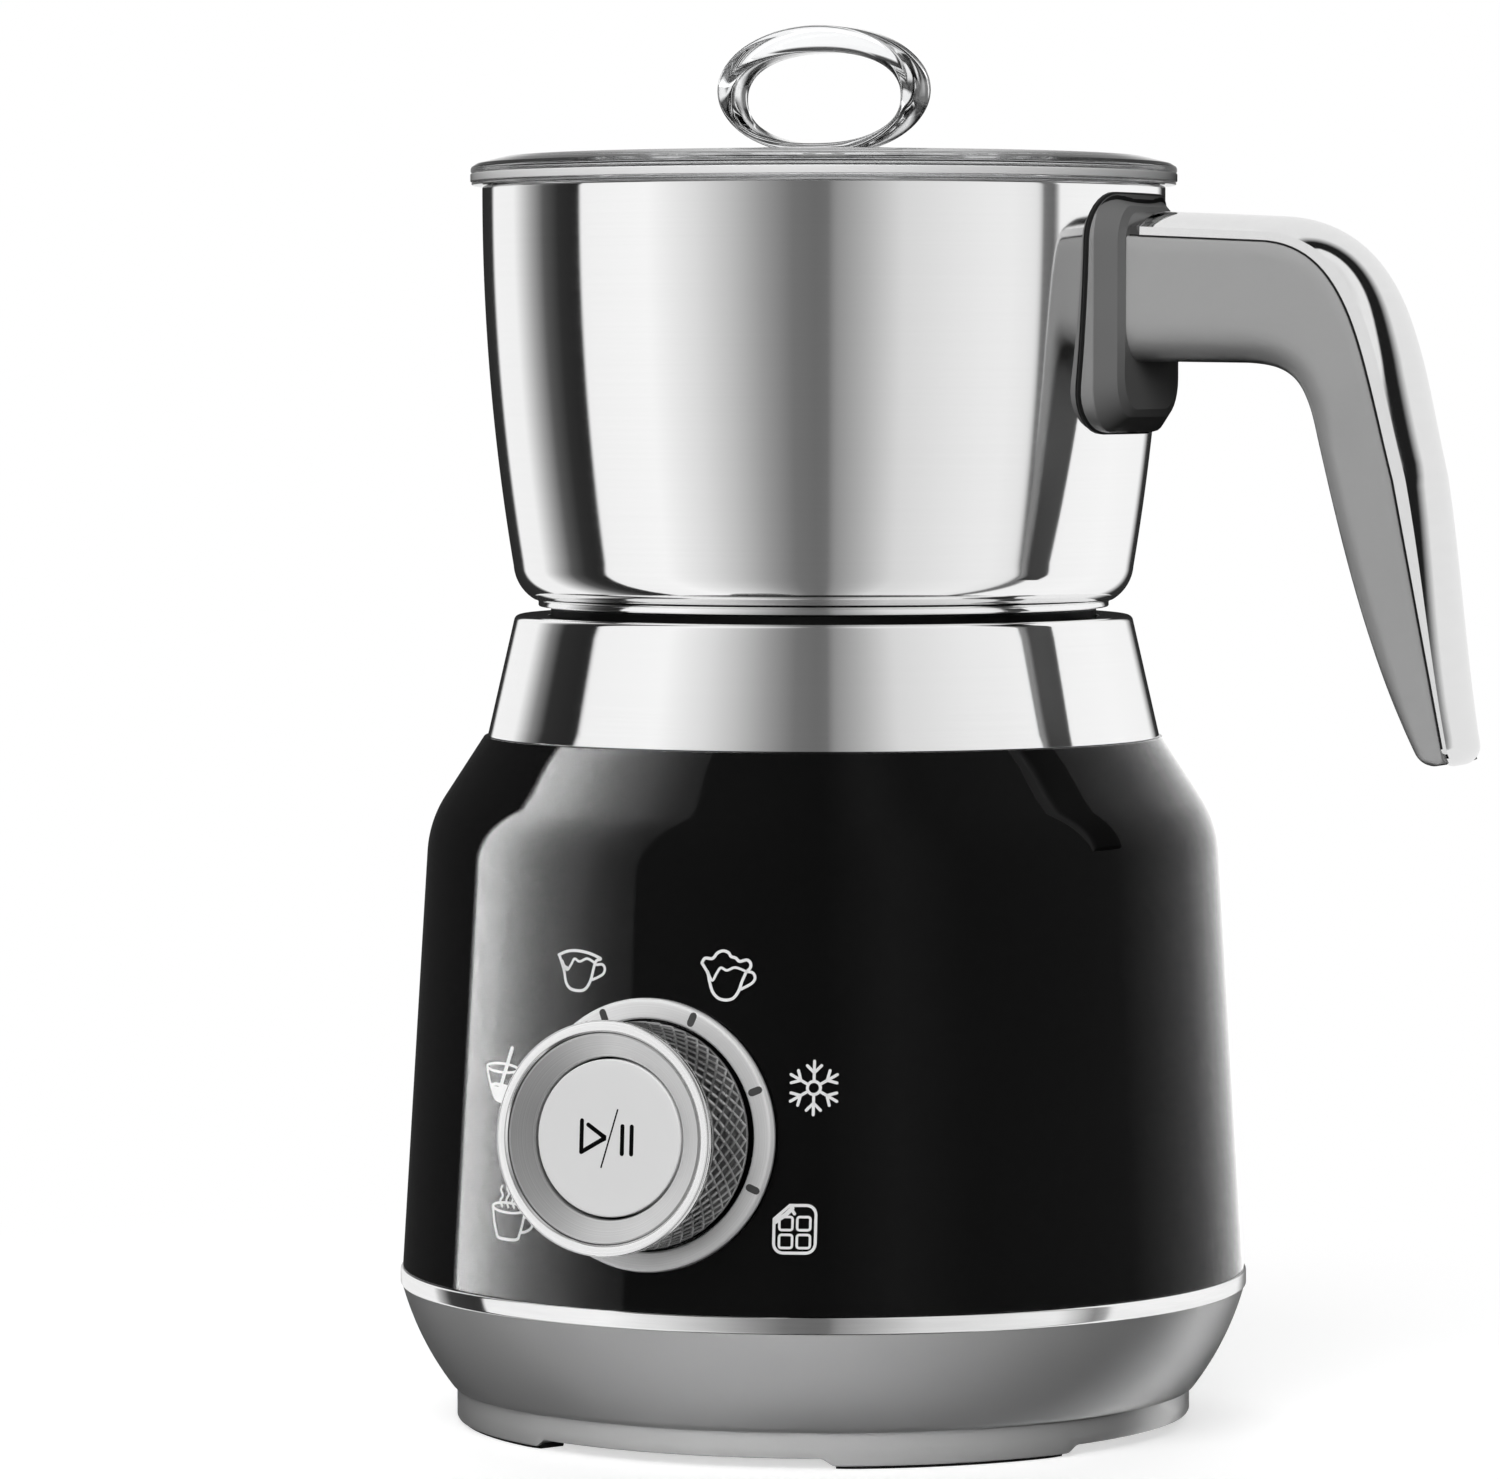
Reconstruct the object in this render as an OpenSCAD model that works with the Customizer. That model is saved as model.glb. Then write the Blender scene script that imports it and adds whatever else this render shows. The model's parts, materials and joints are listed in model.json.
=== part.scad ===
// Milk frother: induction base with a rotary dial, lift-off steel jug, magnetic whisk, clear lid.
// Frame: millimetres, +Z up, origin on the base axis at table level, dial at -Y, handle at +X.

/* [Base] */
// Outside diameter of the bright trim ring, the widest part of the base
trim_d = 150; // [146:1:154]
// Height of the bright trim ring
trim_h = 3; // [2:0.5:4]
// Height of the lower bowl's top edge
bowl_top = 24.2; // [22:0.1:26]
// Radius of the lower bowl's outline
bowl_curve_r = 51; // [40:1:70]
// Diameter of the skirt that carries the feet
skirt_d = 130; // [126:1:134]
// Angle that each foot spans
foot_angle = 43; // [30:1:55]
// Thickness of the rubber pads
pad_h = 1; // [0.8:0.1:1.4]
// Height of the black body's top edge
body_top = 121.2; // [118:0.1:124]
// Inward lean of the black body's side, in degrees
body_draft = 3.5; // [2.5:0.1:4]
// Lean of the shoulder from the vertical, in degrees
shoulder_angle = 33; // [30:1:36]
// Rounding radius between the side and the shoulder
shoulder_r = 20; // [14:1:26]
// Wall of the black body
shell_wall = 3; // [2.4:0.1:3.5]

/* [Collar and seat] */
// Bottom diameter of the polished collar
collar_base_d = 118.8; // [117:0.1:119.6]
// Top diameter of the polished collar
collar_top_d = 109; // [108:0.1:111]
// Height of the collar
collar_h = 21.4; // [20:0.1:23]
// Sheet thickness of the collar
collar_wall = 1.2; // [1:0.1:1.4]
// Outside diameter of the black seat rim that shows under the jug
seat_rim_d = 96.4; // [96:0.1:97]
// Height of the seat rim above the collar's top
seat_rim_h = 1.4; // [1.2:0.1:1.4]

/* [Dial] */
// Height of the dial's centre
dial_z = 57; // [56:1:62]
// Diameter of the dial ring
dial_ring_d = 46.3; // [45:0.1:48]
// How far the dial ring stands off the body
dial_ring_h = 1.3; // [1:0.1:1.6]
// Diameter of the gripped side of the knob
knob_d = 38.6; // [38:0.1:39]
// Diameter of the knob's bright front rim
knob_rim_d = 39.5; // [39.2:0.1:40]
// Distance from the body to the front of the knob
knob_reach = 17.7; // [17:0.1:19]
// Diameter of the start button
button_d = 26.6; // [26:0.1:26.8]
// Travel of the start button
button_travel = 1.2; // [0.8:0.1:1.2]

/* [Jug] */
// Diameter of the jug's wall at the rim
jug_d = 120.4; // [120:0.1:121]
// Height of the jug's rim above the table
jug_top = 218; // [216:1:222]
// Wall of the jug
jug_wall = 0.9; // [0.7:0.1:1]
// Barrel shape: how much the radius falls per square millimetre of depth
jug_barrel = 0.00127; // [0.0011:0.00001:0.0013]
// Diameter of the jug's underside recess that drops into the seat
jug_foot_d = 91.6; // [91:0.1:91.8]

/* [Handle] */
// Width of the handle where it leaves the bracket
handle_w = 24; // [22:0.5:26]
// Width of the handle at its tip
handle_tip_w = 18; // [16:0.5:20]
// Thickness of the bright strip at the top
strip_t = 3; // [2.5:0.1:3.5]
// Width of the bracket against the jug
bracket_w = 36.8; // [34:0.1:38]
// Width of the bracket's front face
bracket_front_w = 24.8; // [24:0.1:28]

/* [Lid] */
// Diameter of the lid's flange
lid_d = 124.6; // [124:0.1:126]
// Thickness of the lid's flange
lid_edge_h = 3.6; // [3:0.1:4]
// Width of the loop grip
loop_w = 38; // [36:0.5:40]
// Top of the loop grip above the table
loop_top = 246.3; // [244:0.1:248]
// Width of the loop's band
loop_band = 8.8; // [8:0.1:12]
// Thickness of the loop at its sides
loop_side = 2.7; // [2.4:0.1:4]

/* [Whisk] */
// Diameter of the magnetic whisk hub
whisk_hub_d = 36; // [34:1:38]
// Diameter of the lift-off froth disc
froth_disc_d = 54; // [50:1:58]
// Number of vanes on the froth disc
froth_vanes = 8; // [6:1:10]

/* [Hidden] */
$fn = 96;

// Clearances
run_fit = 0.03;
slide_gap = 0.3;
press_gap = 0.02;
cut = 1;

// Levels of the base
foot_gap = 1.8;
plate_under = 3.3;
plate_top = 6.3;
flange_top = 8.9;
trim_z = bowl_top;
shell_z = trim_z + trim_h;
collar_top = body_top + collar_h;
seat_z = 139;
seat_under = 136;
jug_z = seat_z + 0.2;

// Radii of the base
skirt_r = skirt_d / 2;
trim_r = trim_d / 2;
shell_r = trim_r - 0.4;
collar_r = collar_base_d / 2;
collar_top_r = collar_top_d / 2;
shell_top_r = collar_r + 0.6;
seat_rim_r = seat_rim_d / 2;
seat_rim_t = 1.6;
post_ring_r = 50;
screw_ring_r = 52;

// Drive and coil
former_z = 128;
former_top = 131;
coil_in_r = 31;
coil_turns = 8;
coil_pitch = 2.1;
wire_r = 0.95;
drive_r = 19;
drive_under = 129.5;
drive_top = 135;
shaft_r = 1.5;
motor_r = 14;
motor_z = 90;
motor_top = 122;
magnet_ring_r = 12.5;
sensor_y = -25;
sensor_r = 3.2;

// Boards and fan
board_z = 30;
board_t = 1.6;
board_top = board_z + board_t;
fan_w = 40;
fan_z = plate_top + 0.1;
fan_h = 10;

// Cord gland at the back
gland_z = 40;
gland_r = 6.5;
gland_bore_r = 3.3;
gland_len = 10;
gland_y = 76;

// Dial, measured outwards from the body's surface on the dial's axis
knob_r = knob_d / 2;
rim_r = knob_rim_d / 2;
button_r = button_d / 2;
knob_floor = 0.5;
rim_floor = knob_reach - 1.8;
dish_r = button_r + slide_gap;
button_face = knob_reach - 2.6;
boss_r = 9;
boss_top = 9.5;
boss_end = -14;
switch_h = 2.9;
hub_r = 10.8;
hub_end = -8;
hub_hole_r = 11.6;
board_w = 44;
board_l = 50;
stay_x = 18;
stay_y = 20;

// Jug
jug_r = jug_d / 2;
jug_rim = jug_top - 1.4;
jug_foot_r = jug_foot_d / 2;
jug_floor = 142.6;
belly_z = 151.2;

// Handle, as a side view: X outwards, Z up
arm_out = [[60, 208.9], [86, 207.7]];
arm_bend = [[86, 207.7], [103, 207.3], [104.8, 187], [110, 167]];
arm_tip = [118.4, 121.6];
arm_in_root = [60, 187.1];
arm_in_bend = [[82, 187], [91.5, 186.6], [93.6, 183.5], [95.6, 174.6]];
arm_in_leg = [[95.6, 174.6], [100, 155.3], [104.5, 136.7], [112.9, 120.7]];
strip_bend = [[86, 211.4], [106.5, 211.2], [109, 187], [113, 166]];
strip_tip = [121.3, 123];
bracket_z = [175, 216];
bracket_front = 62.1;
tang_z = [194.5, 203.5];
tang_w = 10;
tang_end = 90;
weld_w = 18;
weld_z = [187, 212];
weld_t = 1.5;

// Lid
lid_under = jug_top + 0.2;
lid_edge_top = lid_under + lid_edge_h;
lid_top = lid_under + 6;
lid_wall = 2.3;
plug_r = 58;
plug_z = 212;
loop_mid = 235;

// Whisk
whisk_z = 144;
whisk_top = 148.2;
pin_r = 2;
sleeve_r = 4.5;

// ---------- outline helpers ----------

function unit(v) = v / norm(v);
function reversed(p) = [for (i = [len(p) - 1:-1:0]) p[i]];
function shifted(p, d) = [for (q = p) q + d];

// Points of an arc of radius r that rounds the corner b between a and c
function corner_arc(a, b, c, r, n = 8) =
    let (u = unit(a - b), v = unit(c - b), half = acos(u * v) / 2)
    let (m = b + unit(u + v) * r / sin(half), p = b + u * r / tan(half), q = b + v * r / tan(half))
    let (s = atan2(p[1] - m[1], p[0] - m[0]), e = atan2(q[1] - m[1], q[0] - m[0]))
    let (turn = (e - s + 540) % 360 - 180)
    [for (i = [0:n]) m + r * [cos(s + turn * i / n), sin(s + turn * i / n)]];

// Points of an arc of radius r from p to q, bulging to the right of the way from p to q
function bulge_arc(p, q, r, n = 8) =
    let (d = q - p, h = sqrt(r * r - d * d / 4), m = (p + q) / 2 + unit([-d[1], d[0]]) * h)
    let (s = atan2(p[1] - m[1], p[0] - m[0]), e = atan2(q[1] - m[1], q[0] - m[0]))
    let (turn = (e - s + 540) % 360 - 180)
    [for (i = [0:n]) m + r * [cos(s + turn * i / n), sin(s + turn * i / n)]];

function bezier(p, n = 10) =
    [for (i = [0:n]) let (t = i / n, s = 1 - t)
        s * s * s * p[0] + 3 * s * s * t * p[1] + 3 * s * t * t * p[2] + t * t * t * p[3]];

function ellipse(a, b, n = 48) = [for (i = [0:n - 1]) [a * cos(360 * i / n), b * sin(360 * i / n)]];

module spin(points, sides = $fn) {
    rotate_extrude($fn = sides) polygon(points);
}

module ring(r_in, r_out, z0, z1) {
    spin([[r_in, z0], [r_out, z0], [r_out, z1], [r_in, z1]]);
}

module rod(r, z0, z1) {
    translate([0, 0, z0]) cylinder(r = r, h = z1 - z0);
}

module around(count, start = 0) {
    for (i = [0:count - 1]) rotate(start + i * 360 / count) children();
}

module block(x, y, z) {
    translate([x[0], y[0], z[0]]) cube([x[1] - x[0], y[1] - y[0], z[1] - z[0]]);
}

// ---------- base shape ----------

function body_r(z) = shell_r - (z - shell_z) * tan(body_draft);

// Height at which the side's line meets the shoulder's line, for an outline set in by w
function knee_z(w) =
    let (side = shell_r - w + shell_z * tan(body_draft))
    let (top = shell_top_r - w / cos(shoulder_angle) + body_top * tan(shoulder_angle))
    (top - side) / (tan(shoulder_angle) - tan(body_draft));

function body_side(w) =
    let (low = [shell_r - w, shell_z], knee = [body_r(knee_z(w)) - w, knee_z(w)])
    let (high = [shell_top_r - w / cos(shoulder_angle), body_top])
    concat([low], corner_arc(low, knee, high, shoulder_r - w), [high]);

module body_form(w) {
    spin(concat([[0, body_top], [0, shell_z]], body_side(w)), 240);
}

dial_r = body_r(dial_z);

// Puts children on the dial's axis: +Z points out of the body, +Y up the body's side
module at_dial() {
    translate([0, -dial_r, dial_z]) rotate([90 - body_draft, 0, 0]) children();
}

module at_gland() {
    translate([0, 0, gland_z]) rotate([-90, 0, 0]) children();
}

module foot_arc(r_in, r_out, z0, z1, angle) {
    rotate([0, 0, -angle / 2]) rotate_extrude(angle = angle)
        polygon([[r_in, z0], [r_out, z0], [r_out, z1], [r_in, z1]]);
}

module foot_pad(number) {
    color("#202020") rotate(45 + 90 * number)
        foot_arc(58, skirt_r - 0.8, 0, pad_h, foot_angle - 5);
}

module base_plate() {
    vent_w = 2.4;
    color("#9a9a9a") difference() {
        union() {
            rod(skirt_r - 5, plate_under, plate_top);
            ring(skirt_r - 5.5, skirt_r, foot_gap, plate_top);
            around(4, 45) foot_arc(skirt_r - 8, skirt_r, pad_h, plate_under + 0.5, foot_angle);
        }
        around(12) block([7, 19], [-vent_w / 2, vent_w / 2], [0, plate_top + cut]);
        around(24, 7.5) block([27, 42], [-vent_w / 2, vent_w / 2], [0, plate_top + cut]);
        around(4) translate([screw_ring_r, 0, 0]) {
            rod(1.6, 0, plate_top + cut);
            rod(3.2, 0, plate_under + 1.5);
        }
    }
}

module base_screws() {
    color("#8c8c90") around(4) translate([screw_ring_r, 0, 0]) {
        difference() {
            rod(3, plate_under, plate_under + 1.5);
            block([-1.8, 1.8], [-0.4, 0.4], [plate_under - cut, plate_under + 0.7]);
        }
        rod(1.5, plate_under + 1.5, 14);
    }
}

module base_bowl() {
    outside = bulge_arc([skirt_r + 1, plate_top], [trim_r - 0.3, bowl_top], bowl_curve_r, 10);
    inside = [for (p = reversed(outside)) if (p[1] > flange_top) p - [3, 0]];
    flange = [[inside[len(inside) - 1][0], flange_top], [46, flange_top], [46, plate_top]];
    color("#8e8e8e") difference() {
        union() {
            spin(concat(outside, inside, flange));
            around(4) translate([screw_ring_r, 0, 0]) rod(3.5, flange_top - 0.5, 16);
            around(4, 45) translate([post_ring_r, 0, 0]) {
                rod(3.5, flange_top - 0.5, board_z);
                rod(1.4, board_z - 0.5, board_top + 1.4);
            }
        }
        around(4) translate([screw_ring_r, 0, 0]) rod(1.5 + press_gap, plate_top - cut, 15);
    }
}

module trim_ring() {
    bevel = 0.4;
    color("#e6e6e6") spin([
        [trim_r - 4.5, trim_z], [trim_r - bevel, trim_z], [trim_r, trim_z + bevel],
        [trim_r, shell_z - bevel], [trim_r - bevel, shell_z], [trim_r - 4.5, shell_z]
    ]);
}

module body_shell() {
    color("#161616") difference() {
        union() {
            spin(concat(body_side(0), reversed(body_side(shell_wall))));
            intersection() {
                body_form(shell_wall - 0.5);
                at_dial() for (x = [-stay_x, stay_x], y = [-stay_y, stay_y]) translate([x, y, 0]) {
                    rod(3, boss_end, 0);
                    rod(1, boss_end - board_t - 0.8, boss_end + 0.5);
                }
            }
        }
        at_dial() rod(hub_hole_r, -12, 6);
        at_gland() rod(gland_r + press_gap, 60, 80);
    }
}

module collar() {
    lean = (collar_r - collar_top_r) / collar_h;
    foot = [collar_r, body_top];
    brim = [collar_top_r, collar_top];
    outside = concat([foot], corner_arc(foot, brim, [0, collar_top], 1.2, 6));
    lip = seat_rim_r + 0.6;
    inside_top = collar_top - 0.8;
    color("#d8d8d8") spin(concat(outside, [
        [lip, collar_top], [lip, inside_top],
        [collar_top_r - collar_wall + 0.8 * lean, inside_top], [collar_r - collar_wall, body_top]
    ]));
}

module seat_plate() {
    rim_top = collar_top + seat_rim_h;
    skirt_out = collar_top_r - 1.5;
    color("#141414") difference() {
        spin([
            [0, seat_under], [0, seat_z], [seat_rim_r - seat_rim_t, seat_z],
            [seat_rim_r - seat_rim_t, rim_top], [seat_rim_r, rim_top],
            [seat_rim_r, collar_top - 1], [skirt_out, collar_top - 1], [skirt_out, body_top + 1.5],
            [collar_r - 1.9, body_top + 1.5], [collar_r - 1.9, body_top],
            [skirt_out - 2.5, body_top], [skirt_out - 2.5, seat_under]
        ]);
        ring(40, 43, seat_z - 0.8, seat_z + cut);
        translate([0, sensor_y, 0]) rod(sensor_r + slide_gap, seat_under - cut, seat_z + cut);
    }
}

module seat_gasket() {
    color("#2a2a2a") ring(40, 43, seat_z - 0.8, jug_z);
}

// ---------- coil, motor and drive ----------

module coil_former() {
    rim = collar_top_r - 4.1;
    color("#c9b27a") difference() {
        union() {
            ring(20.5, rim, former_z, former_top);
            ring(rim - 2, rim, former_top, seat_under);
            for (x = [-27, 27]) translate([x, 0, 0]) rod(4, 124, former_z + 0.5);
        }
        translate([0, sensor_y, 0]) rod(4.7, former_z - cut, former_top + cut);
        for (x = [-27, 27]) translate([x, 0, 0]) rod(1.2, 123, former_z);
    }
}

module induction_coil() {
    color("#b4652d") for (i = [0:coil_turns - 1])
        translate([0, 0, former_top + wire_r]) rotate_extrude()
            translate([coil_in_r + i * coil_pitch, 0]) circle(r = wire_r, $fn = 24);
}

module ferrite_bars() {
    color("#333336") around(6, 30) block([31, 45], [-4, 4], [former_z - 3.5, former_z]);
}

module motor_bracket() {
    color("#b0b2b4") difference() {
        block([-32, 32], [-9, 9], [motor_top, motor_top + 2]);
        rod(5, motor_top - cut, motor_top + 3);
        for (x = [-27, -8, 8, 27]) translate([x, 0, 0]) rod(1.3, motor_top - cut, motor_top + 3);
    }
}

module motor_screws() {
    color("#77787c") for (x = [-27, -8, 8, 27]) translate([x, 0, 0]) {
        far = abs(x) > 20;
        rod(2.2, far ? motor_top - 1.4 : motor_top + 2, far ? motor_top : motor_top + 3.4);
        rod(1.15, far ? motor_top : motor_top - 1.2, far ? motor_top + 4.5 : motor_top + 2);
    }
}

module motor_can() {
    color("#a7a9ac") difference() {
        rod(motor_r, motor_z, motor_top);
        rod(motor_r - 1, motor_z - cut, motor_top - 1.2);
        rod(shaft_r + run_fit, motor_z, motor_top + cut);
        for (x = [-8, 8]) translate([x, 0, 0]) rod(1.2, motor_top - 2, motor_top + cut);
    }
}

module motor_cap() {
    color("#26282b") difference() {
        rod(motor_r, motor_z - 3, motor_z);
        rod(shaft_r + run_fit, motor_z - 4, motor_z + cut);
    }
}

module motor_shaft() {
    color("#c4c6c8") rod(shaft_r, motor_z - 4, 133);
}

module motor_rotor() {
    slot_w = 1.6;
    color("#6e5a46") difference() {
        rod(10.5, motor_z + 5, motor_top - 5);
        rod(shaft_r, motor_z, motor_top);
        around(6) block([5, 12], [-slot_w / 2, slot_w / 2], [motor_z, motor_top]);
    }
}

module drive_disc() {
    color("#2b2d31") difference() {
        union() {
            rod(drive_r, drive_under, drive_top);
            rod(5, 127, drive_under + 0.5);
        }
        rod(shaft_r, 126, 133);
        around(4, 45) translate([magnet_ring_r, 0, 0]) rod(4, drive_top - 3.5, drive_top + cut);
    }
}

module drive_magnets() {
    color("#8f9296") around(4, 45) translate([magnet_ring_r, 0, 0])
        rod(4 - press_gap, drive_top - 3.5, drive_top);
}

// ---------- boards, fan, gland and sensor ----------

module power_board() {
    color("#1d5c3a") difference() {
        rod(57, board_z, board_top);
        around(4, 45) translate([post_ring_r, 0, 0]) rod(1.4 + press_gap, board_z - cut, board_top + cut);
    }
}

module heat_sink() {
    fin_pitch = 6;
    color("#b9bcc0") {
        block([-44, -20], [-16, 16], [board_top, board_top + 4]);
        for (i = [0:5]) translate([0, -16 + i * fin_pitch, 0])
            block([-44, -20], [0, 2], [board_top + 4, board_top + 28]);
    }
}

module power_transistor() {
    color("#1b1b1d") {
        block([-19.9, -14.9], [-8, 8], [board_top + 2, board_top + 22]);
        for (y = [-5.4, 0, 5.4]) block([-17.9, -16.9], [y - 0.5, y + 0.5], [board_top, board_top + 2]);
    }
}

module filter_capacitor() {
    color("#2c3e66") translate([28, 18, 0]) difference() {
        rod(9, board_top, board_top + 26);
        ring(8.6, 10, board_top + 2, board_top + 3);
    }
}

module tank_capacitor() {
    color("#7a1f1f") block([12, 40], [-24, -11], [board_top, board_top + 21]);
}

module choke_coil() {
    color("#b4652d") translate([-2, 36, board_top + 3.6]) rotate_extrude()
        translate([9, 0]) circle(r = 3.6, $fn = 32);
}

module control_board() {
    color("#1d5c3a") at_dial() difference() {
        block([-board_w / 2, board_w / 2], [-board_l / 2, board_l / 2], [boss_end - board_t, boss_end]);
        for (x = [-stay_x, stay_x], y = [-stay_y, stay_y]) translate([x, y, 0])
            rod(1 + press_gap, boss_end - 3, boss_end + cut);
    }
}

module rotary_encoder() {
    color("#3a3d42") at_dial() ring(hub_r + 0.4, 15.5, boss_end, -5.6);
}

module start_switch() {
    color("#4a4d52") at_dial() {
        block([-3, 3], [-3, 3], [boss_end, boss_end + switch_h - 0.5]);
        rod(1.6, boss_end + switch_h - 0.5, boss_end + switch_h);
    }
}

module knob_boss() {
    stem_w = 5;
    color("#d0d2d4") at_dial() difference() {
        union() {
            rod(boss_r, boss_end, boss_top);
            rod(10.5, boss_end, boss_end + 2);
        }
        block([-stem_w / 2 - 0.15, stem_w / 2 + 0.15], [-stem_w / 2 - 0.15, stem_w / 2 + 0.15],
            [boss_end - cut, boss_top + cut]);
        rod(4.6, boss_end - cut, boss_end + 3.5);
    }
}

module dial_ring() {
    color("#cfcfcf") difference() {
        intersection() {
            at_dial() ring(knob_r + 0.7, dial_ring_d / 2, -8, dial_ring_h + 1);
            body_form(-dial_ring_h);
        }
        body_form(0);
    }
}

module fan_frame() {
    color("#1c1d1f") translate([0, 0, fan_z]) {
        difference() {
            block([-fan_w / 2, fan_w / 2], [-fan_w / 2, fan_w / 2], [0, fan_h]);
            rod(18.2, -cut, fan_h + cut);
            for (x = [-16, 16], y = [-16, 16]) translate([x, y, 0]) rod(1.7, -cut, fan_h + cut);
        }
        rod(8.5, 0, 1.8);
        around(3, 30) block([8, 18.5], [-1, 1], [0, 1.4]);
        rod(1.2, 1.5, 7.5);
    }
}

module fan_rotor() {
    color("#26272a") translate([0, 0, fan_z]) difference() {
        union() {
            rod(8.5, 2.2, 9);
            intersection() {
                around(7) translate([12.5, 0, 5.6]) rotate([35, 0, 0])
                    cube([10.5, 9, 1.2], center = true);
                ring(7, 17.6, 2.2, 9);
            }
        }
        rod(1.2 + run_fit, 0, 8);
    }
}

module cord_gland() {
    color("#1f1f1f") at_gland() difference() {
        union() {
            rod(gland_r, gland_y - gland_len, gland_y);
            rod(gland_r + 2, gland_y - 1.5, gland_y);
            rod(gland_r + 1.2, gland_y - gland_len, gland_y - gland_len + 1.6);
        }
        rod(gland_bore_r, gland_y - gland_len - cut, gland_y + cut);
    }
}

module sensor_guide() {
    color("#c8c4b4") translate([0, sensor_y, 0]) difference() {
        rod(4.4, 117, seat_under);
        rod(sensor_r + slide_gap, 118, seat_under + cut);
    }
}

module temp_sensor_cap() {
    color("#c6c8ca") translate([0, sensor_y, 0]) spin([
        [0, 126], [sensor_r, 126], [sensor_r, jug_z - 0.4], [sensor_r - 0.4, jug_z], [0, jug_z]
    ]);
}

module sensor_spring() {
    color("#9a9ca0") translate([0, sensor_y, 0]) ring(1.7, 2.6, 118, 126);
}

// ---------- knob ----------

module knob_grip() {
    bore = boss_r + run_fit;
    well = dish_r + 0.8;
    color("#777777") at_dial() spin([
        [bore, hub_end], [hub_r, hub_end], [hub_r, 3], [well, 3], [well, knob_floor],
        [knob_r, knob_floor], [knob_r, rim_floor], [rim_r - 2.1, rim_floor],
        [rim_r - 2.1, rim_floor - 1], [well, rim_floor - 3], [well, 6], [bore, 6]
    ]);
}

module knob_dish() {
    edge = rim_r - 2.1;
    color("#b8b8b8") at_dial() spin([
        [dish_r, rim_floor - 3], [dish_r + 0.8, rim_floor - 3], [edge, rim_floor - 1],
        [edge, knob_reach - 0.15], [dish_r, button_face]
    ]);
}

module knob_rim() {
    inner = rim_r - 2.05;
    bevel = 0.45;
    color("#e8e8e8") at_dial() spin([
        [inner, rim_floor], [rim_r - 0.2, rim_floor], [rim_r, rim_floor + 0.3],
        [rim_r, knob_reach - bevel], [rim_r - bevel, knob_reach], [inner, knob_reach]
    ]);
}

module start_button() {
    cap_h = 3;
    stem_w = 5;
    color("#e3e3e3") at_dial() {
        spin([
            [0, button_face - cap_h], [button_r, button_face - cap_h], [button_r, button_face - 0.3],
            [button_r - 0.3, button_face], [0, button_face]
        ]);
        block([-stem_w / 2, stem_w / 2], [-stem_w / 2, stem_w / 2],
            [boss_end + switch_h + 0.1 + button_travel, button_face - cap_h + 0.5]);
    }
}

// ---------- jug ----------

// Outside radius of the jug's wall at height z, set out by w
function jug_at(z, w = 0) = jug_r + w - jug_barrel * pow(jug_rim - z, 2);

function jug_wall_line(w, z0, n = 12) =
    [for (i = [0:n]) let (z = z0 + (jug_rim - z0) * i / n) [jug_at(z, w), z]];

module jug_form(w) {
    spin(concat([[0, jug_rim], [0, belly_z]], jug_wall_line(w, belly_z)), 240);
}

module jug_shell() {
    rim_out = jug_r + 0.3;
    outside = concat(
        [[jug_foot_r - 0.8, jug_z], [jug_foot_r, jug_z], [jug_foot_r, 144.1], [50.4, 144.1], [50.4, 145.2]],
        bulge_arc([51.2, 145.4], [jug_at(belly_z), belly_z], 7.5, 6),
        jug_wall_line(0, belly_z + 1),
        [[rim_out, jug_rim + 0.3], [rim_out, jug_top - 0.3], [rim_out - 0.3, jug_top]]
    );
    inside = concat(
        [[jug_r - jug_wall, jug_top]],
        reversed(jug_wall_line(-jug_wall, belly_z + 1)),
        reversed(bulge_arc([50.2, 146.1], [jug_at(belly_z) - jug_wall, belly_z], 7.2, 6)),
        [[49.6, 145.2], [jug_foot_r - 0.9, 145.1], [jug_foot_r - 0.9, 143.6], [jug_foot_r - 2.2, jug_floor],
         [0, jug_floor], [0, jug_floor - 1], [jug_foot_r - 0.8, jug_floor - 1]]
    );
    color("#d5d5d5") spin(concat(outside, inside));
}

module jug_base_disc() {
    color("#9b9da0") rod(jug_foot_r - 0.8 - press_gap, jug_z, jug_floor - 1);
}

module whisk_pin() {
    color("#c8cacc") {
        rod(6, jug_floor, jug_floor + 0.8);
        rod(pin_r, jug_floor + 0.5, 152);
    }
}

// ---------- handle ----------

module upright_slab(w, z, x, r) {
    translate([x, 0, (z[0] + z[1]) / 2]) rotate([90, 0, 90]) linear_extrude(0.01) hull()
        for (sx = [-1, 1], sy = [-1, 1])
            translate([sx * (w / 2 - r), sy * ((z[1] - z[0]) / 2 - r)]) circle(r = r, $fn = 32);
}

module bracket_outline(w, grow, x0, x1) {
    height = bracket_z[1] - bracket_z[0] + 2 * grow;
    r = 8;
    translate([x0, 0, (bracket_z[0] + bracket_z[1]) / 2]) rotate([90, 0, 90])
        linear_extrude(x1 - x0) {
            square([w + 2 * grow - 2 * r, height], center = true);
            square([w + 2 * grow, height - 2 * r], center = true);
            for (sx = [-1, 1], sy = [-1, 1])
                translate([sx * (w / 2 + grow - r), sy * (height / 2 - r)]) circle(r = r);
        }
}

module handle_gasket() {
    color("#1a1a1a") difference() {
        intersection() {
            bracket_outline(bracket_w, 0.3, 50, 63);
            jug_form(0.6);
        }
        jug_form(press_gap);
        block([40, 70], [-weld_w / 2 - 0.2, weld_w / 2 + 0.2], [weld_z[0] - 0.2, weld_z[1] + 0.2]);
    }
}

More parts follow.
